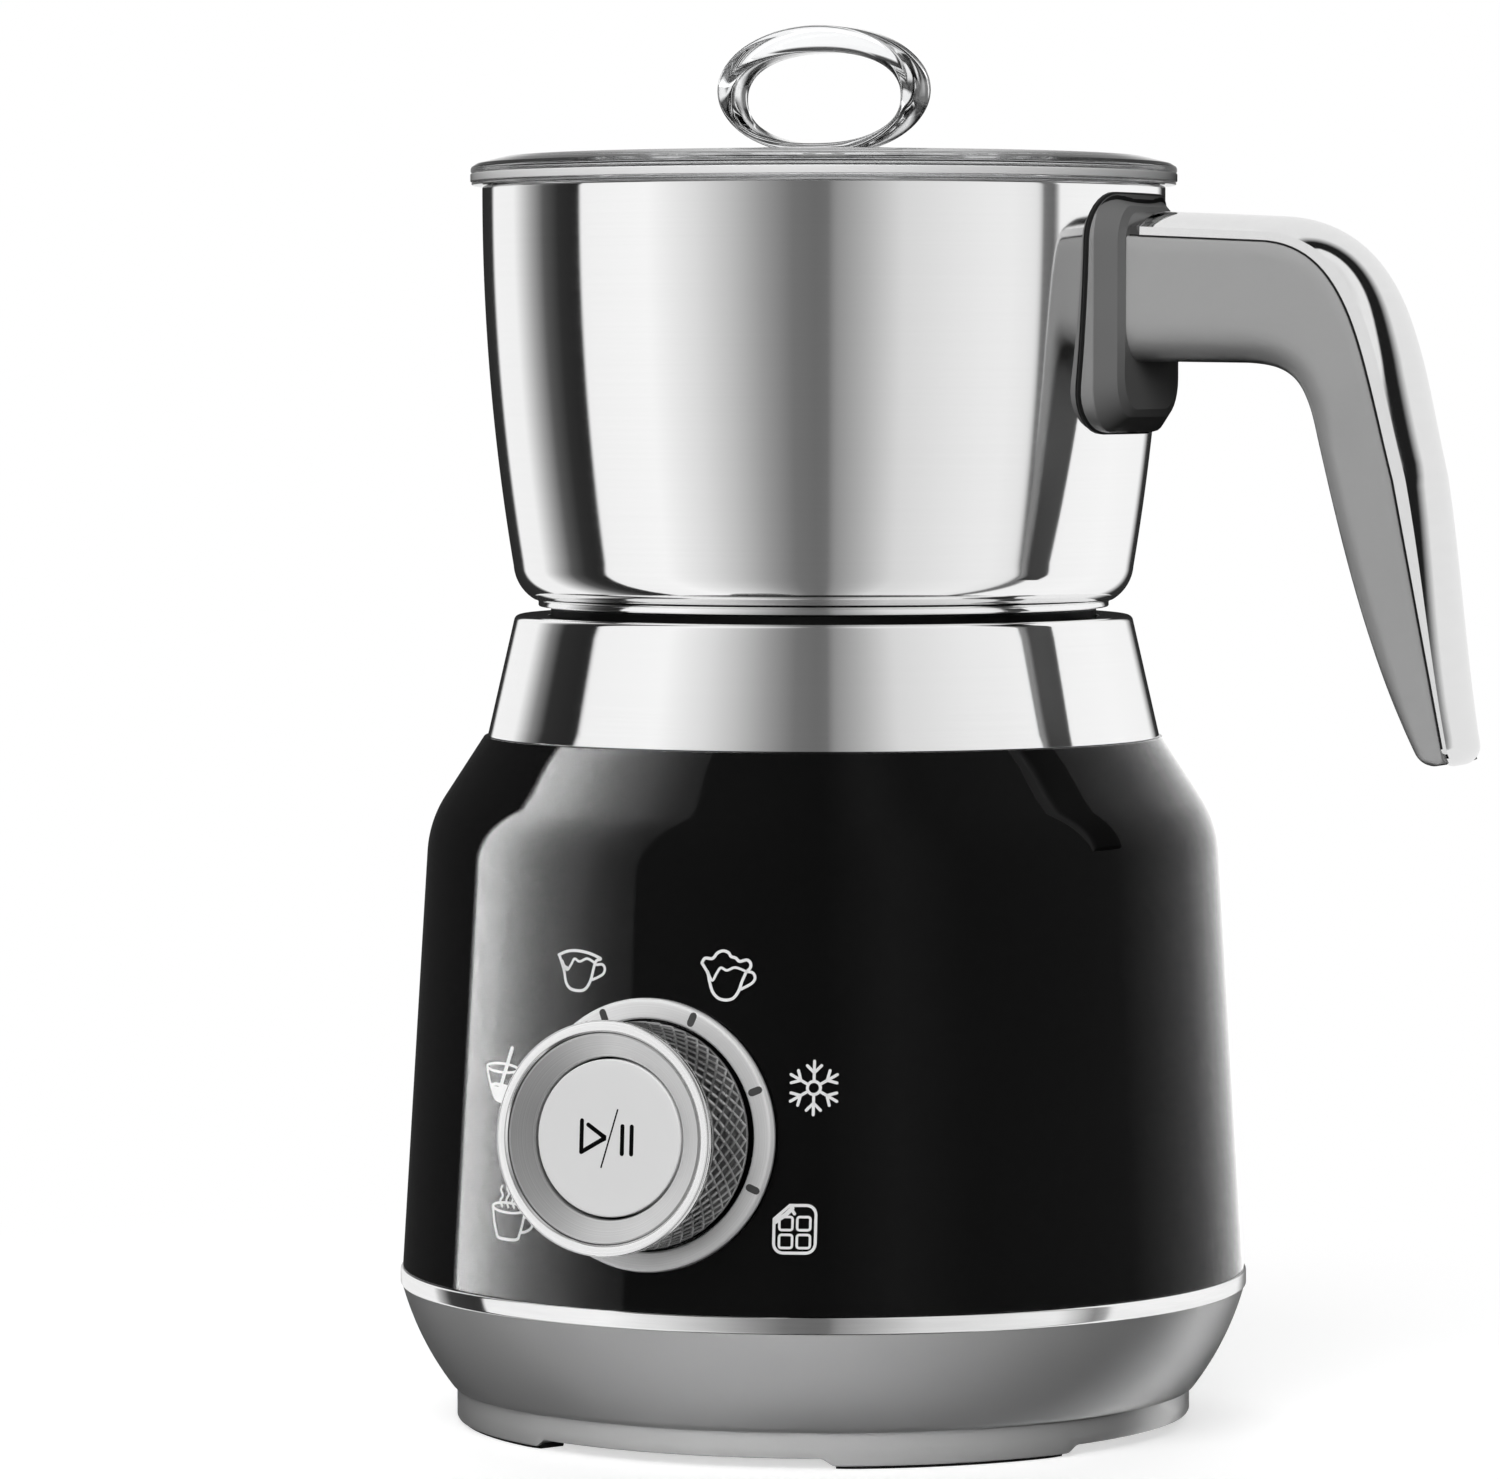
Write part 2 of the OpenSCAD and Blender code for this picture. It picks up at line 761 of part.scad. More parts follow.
module handle_bracket() {
    front_z = [bracket_z[0] + 4, bracket_z[1] - 3];
    color("#8a8a8a") difference() {
        hull() {
            upright_slab(bracket_w, bracket_z, 54, 8);
            upright_slab(bracket_w, bracket_z, 57.6, 8);
            upright_slab(bracket_front_w, front_z, bracket_front - 0.01, 6);
        }
        jug_form(0.62);
        intersection() {
            block([40, 70], [-weld_w / 2 - 0.2, weld_w / 2 + 0.2], [weld_z[0] - 0.2, weld_z[1] + 0.2]);
            jug_form(weld_t + 0.2);
        }
        block([50, 70], [-tang_w / 2 - 0.1, tang_w / 2 + 0.1], [tang_z[0] - 0.1, tang_z[1] + 0.1]);
    }
}

module handle_tang() {
    color("#a9abae") difference() {
        union() {
            intersection() {
                block([40, 70], [-weld_w / 2, weld_w / 2], weld_z);
                jug_form(weld_t);
            }
            block([58, tang_end], [-tang_w / 2, tang_w / 2], tang_z);
        }
        jug_form(press_gap);
        translate([78, 0, 0]) rod(1.5 + press_gap, tang_z[0] - cut, tang_z[1] - 1);
    }
}

// Front view of the handle: its width narrows to the tip
module handle_taper(wide, narrow) {
    half = wide / 2;
    tip = narrow / 2;
    translate([150, 0, 0]) rotate([90, 0, -90]) linear_extrude(100)
        polygon([[-half, 215], [half, 215], [half, 185], [tip, 116], [-tip, 116], [-half, 185]]);
}

arm_outer_edge = concat(arm_out, bezier(arm_bend), [arm_tip]);

module handle_grip() {
    tip_arc = reversed(bulge_arc(arm_in_leg[3], arm_tip, 3.6, 6));
    inner = concat(reversed(bezier(arm_in_leg)), reversed(bezier(arm_in_bend)), [arm_in_root]);
    color("#979797") difference() {
        intersection() {
            translate([0, 20, 0]) rotate([90, 0, 0]) linear_extrude(40)
                polygon(concat(arm_outer_edge, tip_arc, inner));
            handle_taper(handle_w, handle_tip_w);
            block([bracket_front, 130], [-20, 20], [110, 215]);
        }
        block([50, tang_end + 0.1], [-tang_w / 2 - 0.1, tang_w / 2 + 0.1],
            [tang_z[0] - 0.1, tang_z[1] + 0.1]);
        translate([78, 0, 0]) {
            rod(1.6, 180, tang_z[0] + cut);
            rod(3, 180, 190.5);
        }
    }
}

module handle_strip() {
    tip_turn = corner_arc([113, 166], strip_tip, [arm_tip[0] - 3, 118.8], 2.4, 6);
    outer = concat([[60, 208.9 + strip_t - 0.4]], bezier(strip_bend), tip_turn);
    color("#e0e0e0") intersection() {
        translate([0, 20, 0]) rotate([90, 0, 0]) linear_extrude(40)
            polygon(concat(outer, reversed(arm_outer_edge)));
        handle_taper(handle_w - 1, handle_tip_w - 1);
        block([bracket_front, 130], [-20, 20], [110, 215]);
    }
}

module handle_screws() {
    color("#6f7175") translate([78, 0, 0]) difference() {
        union() {
            rod(2.8, 189, 190.5);
            rod(1.5, 190.5 - 0.3, tang_z[1] - 1.5);
        }
        block([-1.8, 1.8], [-0.4, 0.4], [188, 189.7]);
    }
}

// ---------- whisk ----------

module whisk_hub() {
    hub_r_out = whisk_hub_d / 2;
    color("#e4e4e0") difference() {
        union() {
            rod(hub_r_out, whisk_z, whisk_top);
            rod(sleeve_r, whisk_top - 0.5, 153.6);
        }
        rod(pin_r + run_fit, whisk_z - cut, 152.4);
        around(4, 45) translate([magnet_ring_r, 0, 0]) rod(3.2, whisk_z - cut, whisk_top - 0.8);
    }
}

module whisk_magnets() {
    color("#8f9296") around(4, 45) translate([magnet_ring_r, 0, 0])
        rod(3.2 - press_gap, whisk_z, whisk_top - 0.8);
}

module froth_disc() {
    disc_r = froth_disc_d / 2;
    disc_top = whisk_top + 1.6;
    vane_t = 1.2;
    color("#d9dbdd") difference() {
        union() {
            rod(disc_r, whisk_top, disc_top);
            rod(7, whisk_top, 152);
            around(froth_vanes) translate([0, 0, disc_top - 0.3])
                block([13, disc_r - 1], [-vane_t / 2, vane_t / 2], [0, 5]);
            ring(disc_r - 1.4, disc_r, whisk_top, disc_top + 1.6);
        }
        rod(sleeve_r + slide_gap, whisk_top - cut, 153);
        around(froth_vanes, 180 / froth_vanes)
            translate([18, 0, 0]) rod(3, whisk_top - cut, disc_top + cut);
    }
}

// ---------- lid ----------

module lid_disc() {
    edge_r = lid_d / 2;
    color([0.85, 0.88, 0.9, 0.4]) spin([
        [0, lid_top - lid_wall], [0, lid_top], [22, lid_top], [40, lid_top - 0.35], [56, lid_top - 0.9],
        [edge_r - 0.4, lid_edge_top + 0.1], [edge_r, lid_edge_top - 0.4], [edge_r, lid_under + 0.4],
        [edge_r - 0.4, lid_under], [plug_r, lid_under], [plug_r, plug_z], [plug_r - 1.8, plug_z],
        [plug_r - 1.8, lid_top - lid_wall - 1]
    ]);
}

module lid_gasket() {
    g = plug_r + press_gap;
    color("#b8bcc0") spin([
        [g, 212.6], [g + 0.4, 212.6], [g + 0.95, 213.4], [g + 0.4, 214.2], [g + 0.4, 215],
        [g + 0.95, 215.8], [g + 0.4, 216.6], [g, 216.6]
    ]);
}

module lid_loop() {
    rise = loop_top - loop_mid;
    color([0.85, 0.88, 0.9, 0.4]) intersection() {
        translate([0, loop_band / 2, 0]) rotate([90, 0, 0]) linear_extrude(loop_band) difference() {
            union() {
                polygon(shifted(ellipse(loop_w / 2, rise), [0, loop_mid]));
                for (x = [-9.5, 9.5]) translate([x - 1.5, lid_top - 1]) square([3, 4]);
            }
            polygon(shifted(ellipse(loop_w / 2 - loop_side, 8), [0, loop_mid - 1.4]));
        }
        block([-30, 30], [-20, 20], [lid_top, 260]);
    }
}

foot_pad(0);  // foot_pad_1
foot_pad(1);  // foot_pad_2
foot_pad(2);  // foot_pad_3
foot_pad(3);  // foot_pad_4
base_plate();
base_screws();
base_bowl();
trim_ring();
body_shell();
collar();
seat_plate();
seat_gasket();
coil_former();
induction_coil();
ferrite_bars();
motor_bracket();
motor_screws();
motor_can();
motor_cap();
power_board();
heat_sink();
power_transistor();
filter_capacitor();
tank_capacitor();
choke_coil();
control_board();
rotary_encoder();
start_switch();
knob_boss();
dial_ring();
fan_frame();
cord_gland();
sensor_guide();
fan_rotor();
temp_sensor_cap();
sensor_spring();
motor_shaft();
motor_rotor();
drive_disc();
drive_magnets();
knob_grip();
knob_dish();
knob_rim();
start_button();
jug_shell();
jug_base_disc();
whisk_pin();
handle_gasket();
handle_bracket();
handle_tang();
handle_grip();
handle_strip();
handle_screws();
whisk_hub();
whisk_magnets();
froth_disc();
lid_disc();
lid_gasket();
lid_loop();
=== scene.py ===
"""Looks of the milk frother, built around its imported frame. Lengths in the tables are millimetres."""

import json
import math

import bmesh
import bpy
from mathutils import Matrix, Vector


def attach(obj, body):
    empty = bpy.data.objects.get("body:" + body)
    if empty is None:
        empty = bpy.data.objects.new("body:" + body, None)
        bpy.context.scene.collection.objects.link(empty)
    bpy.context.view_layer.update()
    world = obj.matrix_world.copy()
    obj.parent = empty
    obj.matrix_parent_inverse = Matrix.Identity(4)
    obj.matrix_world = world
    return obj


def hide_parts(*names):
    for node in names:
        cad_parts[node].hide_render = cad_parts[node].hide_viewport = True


MM = 0.001
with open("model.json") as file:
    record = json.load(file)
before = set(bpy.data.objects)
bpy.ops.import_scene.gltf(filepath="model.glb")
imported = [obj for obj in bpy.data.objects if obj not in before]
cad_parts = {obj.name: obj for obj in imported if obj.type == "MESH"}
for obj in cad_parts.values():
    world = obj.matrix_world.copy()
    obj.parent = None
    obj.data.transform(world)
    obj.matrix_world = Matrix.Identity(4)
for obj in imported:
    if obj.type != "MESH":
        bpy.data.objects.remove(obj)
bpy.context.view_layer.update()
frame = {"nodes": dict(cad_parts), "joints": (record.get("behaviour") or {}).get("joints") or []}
scene = bpy.context.scene
JOINTS = {j["name"]: j for j in frame["joints"]}

# ---------- camera ----------

VIEW_AZ = math.radians(24.0)
VIEW_DIST = 1.300
VIEW_HEIGHT = 0.1867
VIEW_PITCH = math.radians(-2.92)
VIEW_YAW = math.radians(0.573)

camera_data = bpy.data.cameras.new("camera")
camera_data.lens = 176.4
camera_data.sensor_width = 36.0
camera_data.clip_end = 50.0
camera = bpy.data.objects.new("camera", camera_data)
camera.location = (VIEW_DIST * math.sin(VIEW_AZ), -VIEW_DIST * math.cos(VIEW_AZ), VIEW_HEIGHT)
camera.rotation_euler = (math.pi / 2 + VIEW_PITCH, 0, VIEW_AZ + VIEW_YAW)
scene.collection.objects.link(camera)
scene.camera = camera
scene.view_settings.view_transform = "Standard"
scene.view_settings.look = "None"

# ---------- dimensions, as in the CAD ----------

LEAN = 3.5
SHELL_R, SHELL_Z = 74.6, 27.2
KNEE_R, KNEE_Z = 69.77, 106.15
BODY_TOP = 121.2
JUG_RIM = 216.6
dial_pos = Vector(JOINTS["knob_turn"]["pos_m"]) / MM
DIAL_Z = dial_pos.z
DIAL = Matrix.Translation(dial_pos * MM) @ Matrix.Rotation(math.radians(90 - LEAN), 4, "X")
GLAND = Matrix.Translation((0, 0, 0.040)) @ Matrix.Rotation(math.radians(-90), 4, "X")


def body_r(z):
    return SHELL_R - (z - SHELL_Z) * math.tan(math.radians(LEAN))


def jug_r(z, grow=0.0):
    return 60.2 + grow - 0.00127 * (JUG_RIM - z) ** 2


# ---------- outlines ----------


def arc(centre, radius, start, end, steps):
    return [(centre[0] + radius * math.cos(math.radians(start + (end - start) * i / steps)),
             centre[1] + radius * math.sin(math.radians(start + (end - start) * i / steps)))
            for i in range(steps + 1)]


def rounded(points, steps=5):
    """A closed outline whose corners are rounded by the third number of each point, where it has one."""
    out = []
    for i, p in enumerate(points):
        b = Vector(p[:2])
        if len(p) < 3:
            out.append(tuple(b))
            continue
        a, c = Vector(points[i - 1][:2]), Vector(points[(i + 1) % len(points)][:2])
        u, v = (a - b).normalized(), (c - b).normalized()
        half = u.angle(v) / 2
        cut = min(p[2] / math.tan(half), 0.49 * (a - b).length, 0.49 * (c - b).length)
        mid = b + (u + v).normalized() * cut / math.cos(half)
        s, e = b + u * cut - mid, b + v * cut - mid
        turn = (math.atan2(e.y, e.x) - math.atan2(s.y, s.x) + 3 * math.pi) % (2 * math.pi) - math.pi
        for k in range(steps + 1):
            t = turn * k / steps
            out.append((mid.x + s.x * math.cos(t) - s.y * math.sin(t), mid.y + s.x * math.sin(t) + s.y * math.cos(t)))
    return out


def line_up(p, q, n):
    return [(p[0] + (q[0] - p[0]) * i / n, p[1] + (q[1] - p[1]) * i / n) for i in range(n + 1)]


def bezier(p, n):
    out = []
    for i in range(n + 1):
        t = i / n
        s = 1 - t
        w = (s ** 3, 3 * s * s * t, 3 * s * t * t, t ** 3)
        out.append(tuple(sum(w[k] * p[k][a] for k in range(4)) for a in range(2)))
    return out


def bulge(p, q, r, n):
    """Points of an arc of radius r from p to q, bulging to the right of the way from p to q."""
    p, q = Vector(p), Vector(q)
    d = q - p
    m = (p + q) / 2 + Vector((-d.y, d.x)).normalized() * math.sqrt(r * r - d.length_squared / 4)
    s, e = math.atan2(p.y - m.y, p.x - m.x), math.atan2(q.y - m.y, q.x - m.x)
    turn = (e - s + 3 * math.pi) % (2 * math.pi) - math.pi
    return [(m.x + r * math.cos(s + turn * i / n), m.y + r * math.sin(s + turn * i / n)) for i in range(n + 1)]


def flowing(points, steps=6, closed=False):
    """A Catmull-Rom curve through 2D points."""
    n = len(points)
    out = []
    for i in range(n if closed else n - 1):
        p = [points[(i + k) % n] if closed else points[min(max(i + k, 0), n - 1)] for k in (-1, 0, 1, 2)]
        for k in range(steps):
            t = k / steps
            out.append(tuple(0.5 * (2 * p[1][a] + (p[2][a] - p[0][a]) * t
                                    + (2 * p[0][a] - 5 * p[1][a] + 4 * p[2][a] - p[3][a]) * t * t
                                    + (3 * p[1][a] - p[0][a] - 3 * p[2][a] + p[3][a]) * t ** 3) for a in range(2)))
    if not closed:
        out.append(tuple(points[-1]))
    return out


# ---------- meshes ----------


def piece(name, verts, faces, place=None, smooth=True, sharp=34, fix_normals=True):
    """A mesh object from points in millimetres."""
    mesh = bpy.data.meshes.new(name)
    mesh.from_pydata([(x * MM, y * MM, z * MM) for x, y, z in verts], [], faces)
    mesh.validate()
    if fix_normals:
        bm = bmesh.new()
        bm.from_mesh(mesh)
        bmesh.ops.recalc_face_normals(bm, faces=bm.faces)
        bm.to_mesh(mesh)
        bm.free()
    obj = bpy.data.objects.new(name, mesh)
    scene.collection.objects.link(obj)
    if place is not None:
        obj.matrix_world = place
    if smooth:
        mesh.shade_smooth()
        mesh.set_sharp_from_angle(angle=math.radians(sharp))
    return obj


def turned(outline, sides, closed=True, at=(0, 0)):
    """Points and faces of an outline of (radius, height) turned round the vertical through at."""
    verts, rows = [], []
    for r, z in outline:
        if r < 1e-6:
            rows.append([len(verts)] * sides)
            verts.append((at[0], at[1], z))
        else:
            rows.append(list(range(len(verts), len(verts) + sides)))
            verts += [(at[0] + r * math.cos(2 * math.pi * k / sides), at[1] + r * math.sin(2 * math.pi * k / sides), z)
                      for k in range(sides)]
    faces = []
    for i in range(len(outline) if closed else len(outline) - 1):
        a, b = rows[i], rows[(i + 1) % len(outline)]
        for k in range(sides):
            n = (k + 1) % sides
            corners = [a[k], a[n], b[n], b[k]]
            corners = [v for j, v in enumerate(corners) if v != corners[j - 1]]
            if len(corners) > 2:
                faces.append(corners)
    return verts, faces


def merged(*parts):
    verts, faces = [], []
    for v, f in parts:
        faces += [[i + len(verts) for i in face] for face in f]
        verts += v
    return verts, faces


def circle(r, z, sides):
    return [(r * math.cos(2 * math.pi * k / sides), r * math.sin(2 * math.pi * k / sides), z) for k in range(sides)]


def weld(obj, outward=True):
    """Joins points that lie on each other, where the first and the last row of faces meet."""
    bm = bmesh.new()
    bm.from_mesh(obj.data)
    bmesh.ops.remove_doubles(bm, verts=bm.verts, dist=1e-7)
    if outward:
        bmesh.ops.recalc_face_normals(bm, faces=bm.faces)
    bm.to_mesh(obj.data)
    bm.free()


def finer(outline, step):
    """Adds points between the corners of a closed outline, which keeps the shading of its long sides even."""
    out = []
    for p, q in zip(outline, outline[1:] + outline[:1]):
        length = math.dist(p, q)
        out.append(p)
        for k in range(1, int(length // step)):
            t = k / (length // step)
            out.append((p[0] + (q[0] - p[0]) * t, p[1] + (q[1] - p[1]) * t))
    return out


def lathe(name, outline, sides=192, place=None, **options):
    return piece(name, *turned(outline, sides), place=place, **options)


def grid(rows, wrap=True, cap_start=False, cap_end=False):
    """Points and faces of rows of points with the same count. Caps close the first or last row with one face."""
    n = len(rows[0])
    verts = [p for row in rows for p in row]
    faces = []
    for i in range(len(rows) - 1):
        for k in range(n if wrap else n - 1):
            m = (k + 1) % n
            faces.append([i * n + k, i * n + m, (i + 1) * n + m, (i + 1) * n + k])
    if cap_start:
        faces.append(list(range(n))[::-1])
    if cap_end:
        faces.append(list(range((len(rows) - 1) * n, len(rows) * n)))
    return verts, faces


def carve(obj, cutter_parts, place=None):
    """Takes closed cutters, in millimetres, out of a piece."""
    cutter = piece("cutter", *merged(*cutter_parts), place=place, smooth=False)
    modifier = obj.modifiers.new("carve", "BOOLEAN")
    modifier.operation = "DIFFERENCE"
    modifier.solver = "EXACT"
    modifier.object = cutter
    bpy.context.view_layer.update()
    mesh = bpy.data.meshes.new_from_object(obj.evaluated_get(bpy.context.evaluated_depsgraph_get()))
    obj.modifiers.clear()
    obj.data = mesh
    bpy.data.objects.remove(cutter)
    mesh.shade_smooth()
    mesh.set_sharp_from_angle(angle=math.radians(34))


def box_part(x, y, z, turn=0.0):
    c, s = math.cos(turn), math.sin(turn)
    verts = [(px * c - py * s, px * s + py * c, pz) for pz in z for px, py in
             ((x[0], y[0]), (x[1], y[0]), (x[1], y[1]), (x[0], y[1]))]
    return verts, [[0, 3, 2, 1], [4, 5, 6, 7], [0, 1, 5, 4], [1, 2, 6, 5], [2, 3, 7, 6], [3, 0, 4, 7]]


def rod_part(r, z0, z1, at=(0, 0), sides=48):
    return turned([(0, z0), (r, z0), (r, z1), (0, z1)], sides, closed=False, at=at)


# ---------- materials ----------


class Graph:
    """A node tree with short ways to add nodes."""

    def __init__(self, owner):
        owner.use_nodes = True
        self.nodes = owner.node_tree.nodes
        self.link = owner.node_tree.links.new

    def add(self, kind, **inputs):
        node = self.nodes.new("ShaderNode" + kind)
        for name, value in inputs.items():
            node.inputs[name.replace("_", " ")].default_value = value
        return node

    def math(self, operation, *values):
        node = self.add("Math")
        node.operation = operation
        for value, socket in zip(values, node.inputs):
            if isinstance(value, (int, float)):
                socket.default_value = value
            else:
                self.link(value, socket)
        return node.outputs[0]

    def spread(self, value, low, high, src=(0.3, 0.7), curve="LINEAR"):
        node = self.add("MapRange", From_Min=src[0], From_Max=src[1], To_Min=low, To_Max=high)
        node.interpolation_type = curve
        self.link(value, node.inputs["Value"])
        return node.outputs["Result"]

    def ramp(self, value, stops):
        node = self.add("ValToRGB")
        elements = node.color_ramp.elements
        elements.remove(elements[-1])
        for i, (position, shade) in enumerate(stops):
            element = elements[0] if i == 0 else elements.new(position)
            element.position = position
            element.color = (shade, shade, shade, 1)
        self.link(value, node.inputs["Fac"])
        return node.outputs["Color"]


class Look(Graph):
    """A material around one Principled shader, with its detail computed from object coordinates."""

    def __init__(self, name, **sockets):
        self.material = bpy.data.materials.new(name)
        super().__init__(self.material)
        self.shader = self.nodes["Principled BSDF"]
        for socket, value in sockets.items():
            self.shader.inputs[socket.replace("_", " ")].default_value = value
        self.coords = self.add("TexCoord").outputs["Object"]

    def noise(self, scale, detail=3.0, stretch=None):
        coords = self.coords
        if stretch:
            mapping = self.add("Mapping", Scale=stretch)
            self.link(coords, mapping.inputs["Vector"])
            coords = mapping.outputs["Vector"]
        node = self.add("TexNoise", Scale=scale, Detail=detail)
        self.link(coords, node.inputs["Vector"])
        return node.outputs["Fac"]

    def tint(self, value, dark, light, src=(0.3, 0.7)):
        node = self.add("Mix")
        node.data_type = "RGBA"
        self.link(self.spread(value, 0.0, 1.0, src), node.inputs["Factor"])
        node.inputs["A"].default_value = (*dark, 1)
        node.inputs["B"].default_value = (*light, 1)
        self.link(node.outputs["Result"], self.shader.inputs["Base Color"])

    def rough(self, value, low, high):
        self.link(self.spread(value, low, high), self.shader.inputs["Roughness"])

    def bump(self, height, strength, distance):
        node = self.add("Bump", Strength=strength, Distance=distance)
        self.link(height, node.inputs["Height"])
        self.link(node.outputs["Normal"], self.shader.inputs["Normal"])

    def radius(self):
        """Distance from the object's own Z axis."""
        parts = self.add("SeparateXYZ")
        self.link(self.coords, parts.inputs[0])
        x, y = parts.outputs[0], parts.outputs[1]
        return self.math("SQRT", self.math("ADD", self.math("MULTIPLY", x, x), self.math("MULTIPLY", y, y)))


def grey(value):
    return (value, value, value)


def plastic(name, dark, light, roughness, grain=1800.0, depth=0.00002, **sockets):
    look = Look(name, **sockets)
    cloud = look.noise(30.0, 4.0)
    look.tint(cloud, dark, light)
    look.rough(cloud, roughness * 0.9, roughness * 1.12)
    look.bump(look.noise(grain, 2.0), 0.25, depth)
    return look.material


def turned_metal(name, dark, light, roughness, lines=(14.0, 14.0, 2200.0), depth=0.000004, **sockets):
    """Metal with fine lines round the Z axis, from turning or polishing on a wheel."""
    look = Look(name, Metallic=1.0, **sockets)
    line = look.noise(1.0, 3.0, lines)
    cloud = look.noise(22.0, 3.0)
    look.tint(line, dark, light)
    look.rough(look.math("ADD", look.math("MULTIPLY", line, 0.5), look.math("MULTIPLY", cloud, 0.5)),
               roughness * 0.75, roughness * 1.3)
    look.bump(line, 0.35, depth)
    return look.material


def spun_metal(name, dark, light, roughness, pitch=5200.0, depth=0.000006, metallic=1.0):
    """Metal with concentric lines on its face, round the object's own Z axis."""
    look = Look(name, Metallic=metallic)
    line = look.add("TexNoise", Scale=1.0, Detail=3.0)
    line.noise_dimensions = "1D"
    look.link(look.math("MULTIPLY", look.radius(), pitch), line.inputs["W"])
    fac = line.outputs["Fac"]
    look.tint(fac, dark, light)
    look.rough(look.noise(90.0, 3.0), roughness * 0.85, roughness * 1.2)
    look.bump(fac, 0.3, depth)
    return look.material


M = {
    "steel": turned_metal("polished_steel", grey(0.905), grey(0.918), 0.065, depth=0.0000008),
    "chrome": turned_metal("bright_trim", grey(0.86), grey(0.92), 0.06, lines=(60.0, 60.0, 900.0)),
    "strip": turned_metal("strip_metal", grey(0.83), grey(0.85), 0.05, lines=(700.0, 40.0, 700.0), depth=0.0000006),
    "gloss": plastic("gloss_black", grey(0.0028), grey(0.0036), 0.02, 260.0, 0.0000001),
    "grey": plastic("grey_plastic", grey(0.345), grey(0.365), 0.32),
    "bracket": plastic("bracket_plastic", grey(0.225), grey(0.25), 0.30),
    "matt_black": plastic("matt_black", grey(0.005), grey(0.008), 0.5, 2600.0, Specular_IOR_Level=0.2),
    "rubber": plastic("rubber_black", grey(0.014), grey(0.026), 0.75, 1400.0, 0.00004),
    "silicone": plastic("silicone_black", grey(0.012), grey(0.02), 0.5, 900.0, 0.00001),
    "ring": spun_metal("dial_ring_metal", grey(0.78), grey(0.88), 0.34, metallic=0.45),
    "dish": spun_metal("dish_metal", grey(0.62), grey(0.74), 0.36, metallic=0.92),
    "rim": spun_metal("rim_metal", grey(0.88), grey(0.95), 0.16, metallic=0.85),
    "button": plastic("button_white", grey(0.80), grey(0.83), 0.32, 2400.0, 0.000008),
    "ink_black": plastic("ink_black", grey(0.002), grey(0.004), 0.6, 3000.0, 0.000006, Specular_IOR_Level=0.15),
    "ink_white": plastic("ink_white", grey(0.90), grey(0.94), 0.08, 3000.0, 0.000001),
    "mark": plastic("mark_grey", grey(0.055), grey(0.075), 0.5, 3000.0, 0.000006),
    "white": plastic("white_plastic", (0.66, 0.66, 0.63), (0.72, 0.72, 0.69), 0.4),
    "amber": plastic("amber_plastic", (0.40, 0.29, 0.13), (0.48, 0.36, 0.17), 0.45),
    "resin": plastic("dark_resin", grey(0.018), grey(0.028), 0.45),
    "board": plastic("circuit_board", (0.012, 0.09, 0.045), (0.022, 0.13, 0.065), 0.25, 500.0, 0.00002),
    "blue": plastic("capacitor_blue", (0.025, 0.05, 0.14), (0.035, 0.07, 0.18), 0.28),
    "red": plastic("capacitor_red", (0.19, 0.017, 0.017), (0.25, 0.025, 0.022), 0.22, 300.0, 0.00003),
    "ferrite": plastic("ferrite", (0.045, 0.045, 0.05), (0.065, 0.065, 0.07), 0.6, 1200.0, 0.00005),
    "zinc": turned_metal("zinc_steel", (0.46, 0.47, 0.48), (0.58, 0.59, 0.60), 0.32, lines=(90.0, 90.0, 90.0)),
    "screw": turned_metal("screw_steel", (0.38, 0.38, 0.39), (0.50, 0.50, 0.51), 0.30, lines=(300.0, 300.0, 300.0)),
    "alu": turned_metal("aluminium", (0.55, 0.56, 0.58), (0.66, 0.67, 0.69), 0.33, lines=(30.0, 900.0, 30.0)),
    "copper": turned_metal("copper_wire", (0.52, 0.21, 0.09), (0.66, 0.30, 0.14), 0.24, lines=(400.0, 400.0, 90.0)),
    "magnet": turned_metal("magnet_nickel", (0.40, 0.40, 0.41), (0.52, 0.52, 0.53), 0.22, lines=(200.0, 200.0, 200.0)),
}


def knurled(name, valley, ridge, low, high):
    """Knurled metal, darkened in its valleys with painted shade and left bright on its ridges: the colour follows the
    distance from the Z axis.
    """
    look = Look(name, Metallic=0.9)
    fine = look.noise(1500.0, 3.0)
    height = look.math("ADD", look.radius(), look.math("MULTIPLY", fine, 0.00004))
    look.tint(height, valley, ridge, (low * MM, high * MM))
    look.rough(fine, 0.26, 0.36)
    look.bump(fine, 0.2, 0.000006)
    return look.material


# the dark valley colour is painted shade; the ridge colour is the metal's own
M["knurl"] = knurled("knurled_metal", grey(0.09), grey(0.78), 18.93, 19.22)


def clear(name, roughness, tint, ior):
    look = Look(name, Transmission_Weight=1.0, IOR=ior)
    cloud = look.noise(45.0, 3.0)
    look.tint(cloud, tuple(c * 0.985 for c in tint), tint)
    look.rough(cloud, roughness * 0.5, roughness * 1.5)
    look.bump(look.noise(70.0, 2.0), 0.10, 0.00004)
    return look.material


M["clear"] = clear("clear_plastic", 0.012, (0.97, 0.975, 0.98), 1.49)
# opaque white for the lid's lip: a painted highlight in place of the bright line of light along the clear flange
M["lip"] = plastic("lid_lip_plastic", grey(0.95), grey(0.985), 0.10, 300.0, 0.000004)
M["silicone_clear"] = clear("silicone_clear", 0.22, (0.86, 0.88, 0.89), 1.42)


def dress(obj, body, slot, look, *nodes):
    obj.data.materials.clear()
    obj.data.materials.append(M[look])
    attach(obj, body)
    if nodes:
        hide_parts(*nodes)
    return obj


# ---------- base ----------

